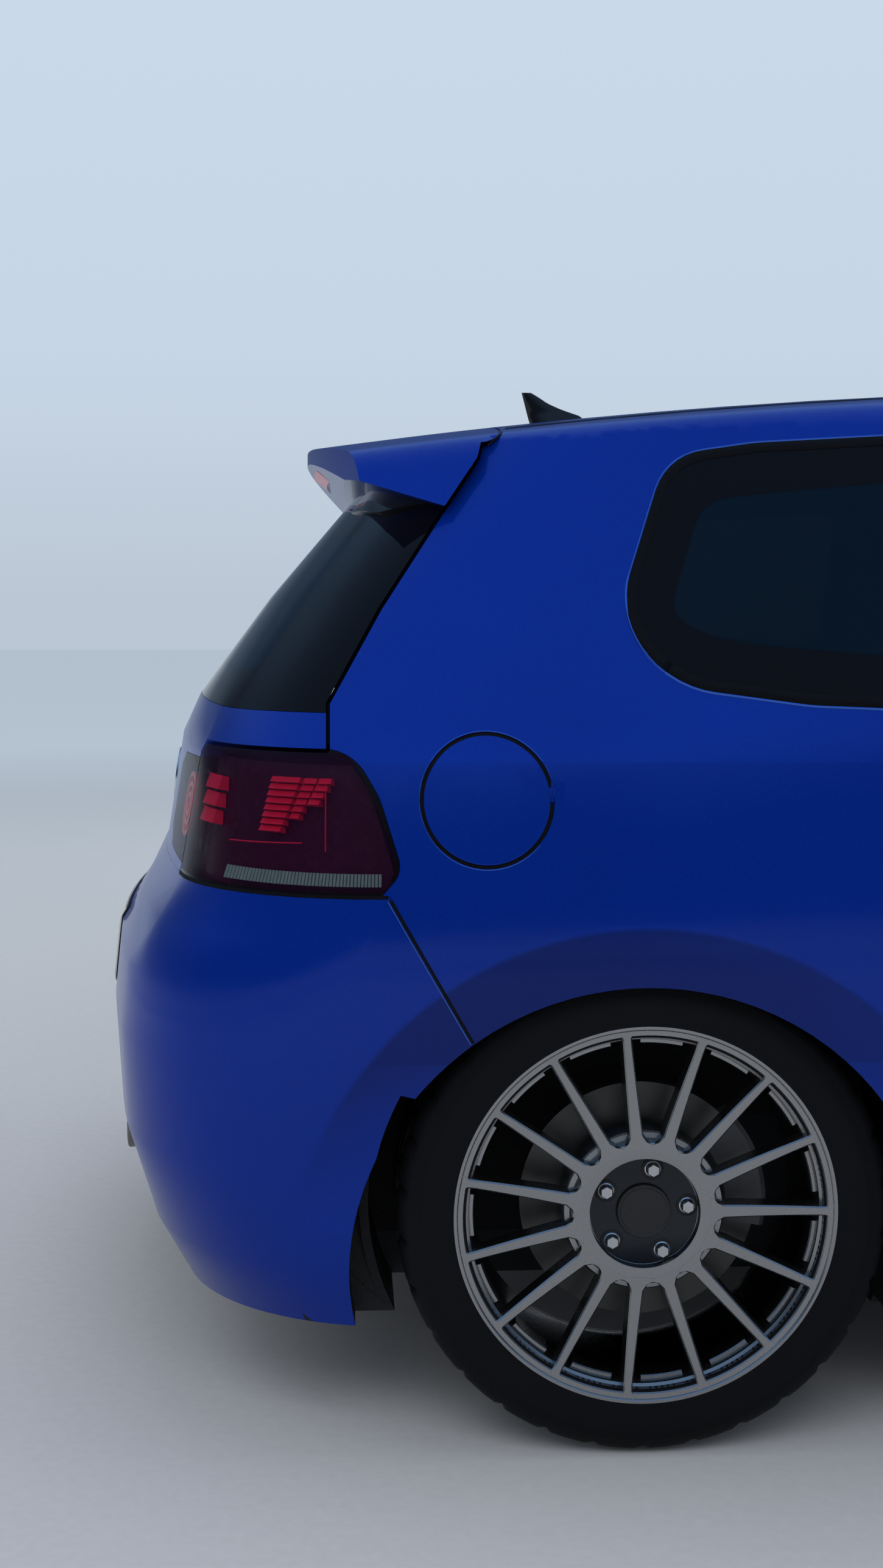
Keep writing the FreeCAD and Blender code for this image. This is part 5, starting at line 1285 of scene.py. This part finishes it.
# Cabin front: vents, console and gear lever
vents = []
for y in (-0.58, -0.09, 0.09, 0.58):
    for z in (0.800, 0.811, 0.822, 0.833):
        vane = [(0.290, z), (0.302, z + 0.001), (0.302, z + 0.004), (0.290, z + 0.003)]
        vents.append(prism(vane, y - 0.055, y + 0.055, 0.001))
piece("dash_vents", *join(*vents), gloss_black)
CONSOLE = [(0.300, 0.640), (0.270, 0.520), (0.100, 0.420), (-0.250, 0.400), (-0.280, 0.228), (0.600, 0.228),
           (0.600, 0.640)]
piece("centre_console", *prism(CONSOLE, -0.095, 0.095, 0.012), black_plastic)
stick = tube([(0.060, 0, 0.405), (0.055, 0, 0.480), (0.045, 0, 0.520)], [0.022, 0.010, 0.008], 16)
knob = lathe([(0.0, 0.0001), (0.0, 0.016), (0.020, 0.023), (0.040, 0.022), (0.050, 0.012),
              (0.052, 0.0001)], 32)
piece("gear_lever", *join(stick, placed(knob, (0.045, 0, 0.515), (-0.1, 0, 1))), leather)

# Engine cover with ribs
COVER = [(1.080, 0.7405), (1.500, 0.7405), (1.490, 0.762), (1.420, 0.772), (1.140, 0.772), (1.085, 0.762)]
RIB = [(1.140, 0.771), (1.430, 0.771), (1.420, 0.777), (1.150, 0.777)]
ribs = [prism(RIB, y - 0.012, y + 0.012, 0.003) for y in (-0.18, -0.09, 0.0, 0.09, 0.18)]
piece("engine_cover", *join(prism(COVER, -0.26, 0.26, 0.012), *ribs), black_plastic)

# Brake calipers, from the disc's inner face outwards
CALIPER = [(-0.030, 0.100), (-0.034, 0.110), (-0.034, 0.155), (-0.026, 0.166), (0.036, 0.166),
           (0.0405, 0.160), (0.0405, 0.112), (0.034, 0.104), (0.0235, 0.104), (0.0235, 0.158),
           (-0.0015, 0.158), (-0.0015, 0.100)]
CALIPER_TURN = {"front": -125.0, "rear": 75.0}
for end, axle_x in AXLES.items():
    for name, side in SIDES:
        low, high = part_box("disc_" + end + "_" + name)
        back = min(abs(low[1]), abs(high[1])) - HALF_TRACK
        form = lathe([(back + u, r) for u, r in CALIPER], 18, CALIPER_TURN[end] - 27, 54.0)
        owner = "steer_knuckle_" + name if end == "front" else "car_body"
        piece("caliper_" + end + "_" + name, *turned(form, (axle_x, side * HALF_TRACK, AXLE_Z), side),
              caliper_grey, owner)

# Floor, soft light and pale surroundings
FLOOR_HALF = 40
floor_mesh = bpy.data.meshes.new("floor")
corners = [(FLOOR_HALF * x, FLOOR_HALF * y, 0) for x, y in ((-1, -1), (1, -1), (1, 1), (-1, 1))]
floor_mesh.from_pydata(corners, [], [(0, 1, 2, 3)])
new_object("floor", floor_mesh)
floor_shade = Shade("pale_floor", (0.50, 0.51, 0.53), 0.85, Specular_IOR_Level=0.1)
near_tone = floor_shade.mix(floor_shade.noise(60.0, 4.0), (0.43, 0.44, 0.46), (0.49, 0.50, 0.52))
# Painted light: the floor grows paler and bluer from 2.5 m to 12 m away from the car, evening out the lamps'
# falloff up to the sky
painted_far_light = floor_shade.span(floor_shade.radius_from((-0.2, 0.0), "xy"), 2.5, 12.0)
floor_shade.set("Base Color", floor_shade.mix(painted_far_light, near_tone, (0.76, 0.82, 0.86)))
floor_mesh.materials.append(floor_shade.material)

# Sky tones by height: what glossy surfaces mirror, and what the eye sees beyond the floor
MIRRORED = ((0.0, (0.40, 0.46, 0.52)), (0.06, (0.12, 0.16, 0.22)), (0.14, (0.05, 0.08, 0.12)),
            (0.34, (0.07, 0.11, 0.18)), (0.60, (0.24, 0.42, 0.70)), (1.0, (0.20, 0.36, 0.68)))
SEEN = ((0.0, (0.50, 0.57, 0.66)), (0.12, (0.57, 0.67, 0.79)), (0.40, (0.60, 0.71, 0.84)))
world = bpy.data.worlds.new("studio")
scene.world = world
world.use_nodes = True
tree = world.node_tree
tree.nodes.clear()
coords = new_node(tree, "ShaderNodeTexCoord", {})
upwards = new_node(tree, "ShaderNodeSeparateXYZ", {0: coords.outputs["Generated"]}).outputs["Z"]
ray = new_node(tree, "ShaderNodeLightPath", {}).outputs


def sky(tones):
    """A background whose colour changes with height."""
    ramp = new_node(tree, "ShaderNodeValToRGB", {0: upwards})
    while len(ramp.color_ramp.elements) < len(tones):
        ramp.color_ramp.elements.new(0.5)
    for element, (place, tone) in zip(ramp.color_ramp.elements, tones):
        element.position = place
        element.color = opaque(tone)
    return new_node(tree, "ShaderNodeBackground", {"Color": ramp.outputs["Color"]}).outputs[0]


lit = new_node(tree, "ShaderNodeBackground", {"Color": (0.84, 0.91, 1.0, 1.0), "Strength": 0.72}).outputs[0]
open_ray = calculate(tree, "MAXIMUM", ray["Is Camera Ray"], ray["Is Transmission Ray"])
shown = new_node(tree, "ShaderNodeMixShader", {0: ray["Is Glossy Ray"], 1: lit, 2: sky(MIRRORED)}).outputs[0]
blend = new_node(tree, "ShaderNodeMixShader", {0: open_ray, 1: shown, 2: sky(SEEN)}).outputs[0]
new_node(tree, "ShaderNodeOutputWorld", {"Surface": blend})

# Lamps: name, place, target, size, power and colour
WHITE = (1, 1, 1)
for name, place, target, size, power, color in (
        ("key", (-2.5, -4.8, 4.6), (-0.5, 0, 0.7), (5.0, 3.0), 125, WHITE),
        ("top", (0.0, 0.0, 6.0), (0, 0, 0), (6.0, 3.0), 60, WHITE),
        ("tail", (-6.5, 1.5, 2.6), (-1.5, 0, 0.8), (3.0, 3.0), 40, (0.95, 0.97, 1.0)),
        ("nose", (6.5, 1.0, 3.2), (1.0, 0, 0.6), (3.0, 3.0), 40, WHITE),
        ("far_side", (0.5, 5.5, 3.6), (0, 0, 0.7), (5.0, 2.5), 60, WHITE)):
    data = bpy.data.lights.new(name, "AREA")
    data.shape = "RECTANGLE"
    data.size, data.size_y = size
    data.energy = power
    data.color = color
    made = new_object(name, data, place)
    made.rotation_mode = "QUATERNION"
    made.rotation_quaternion = (Vector(target) - Vector(place)).to_track_quat("-Z", "Y")
    made.visible_glossy = False
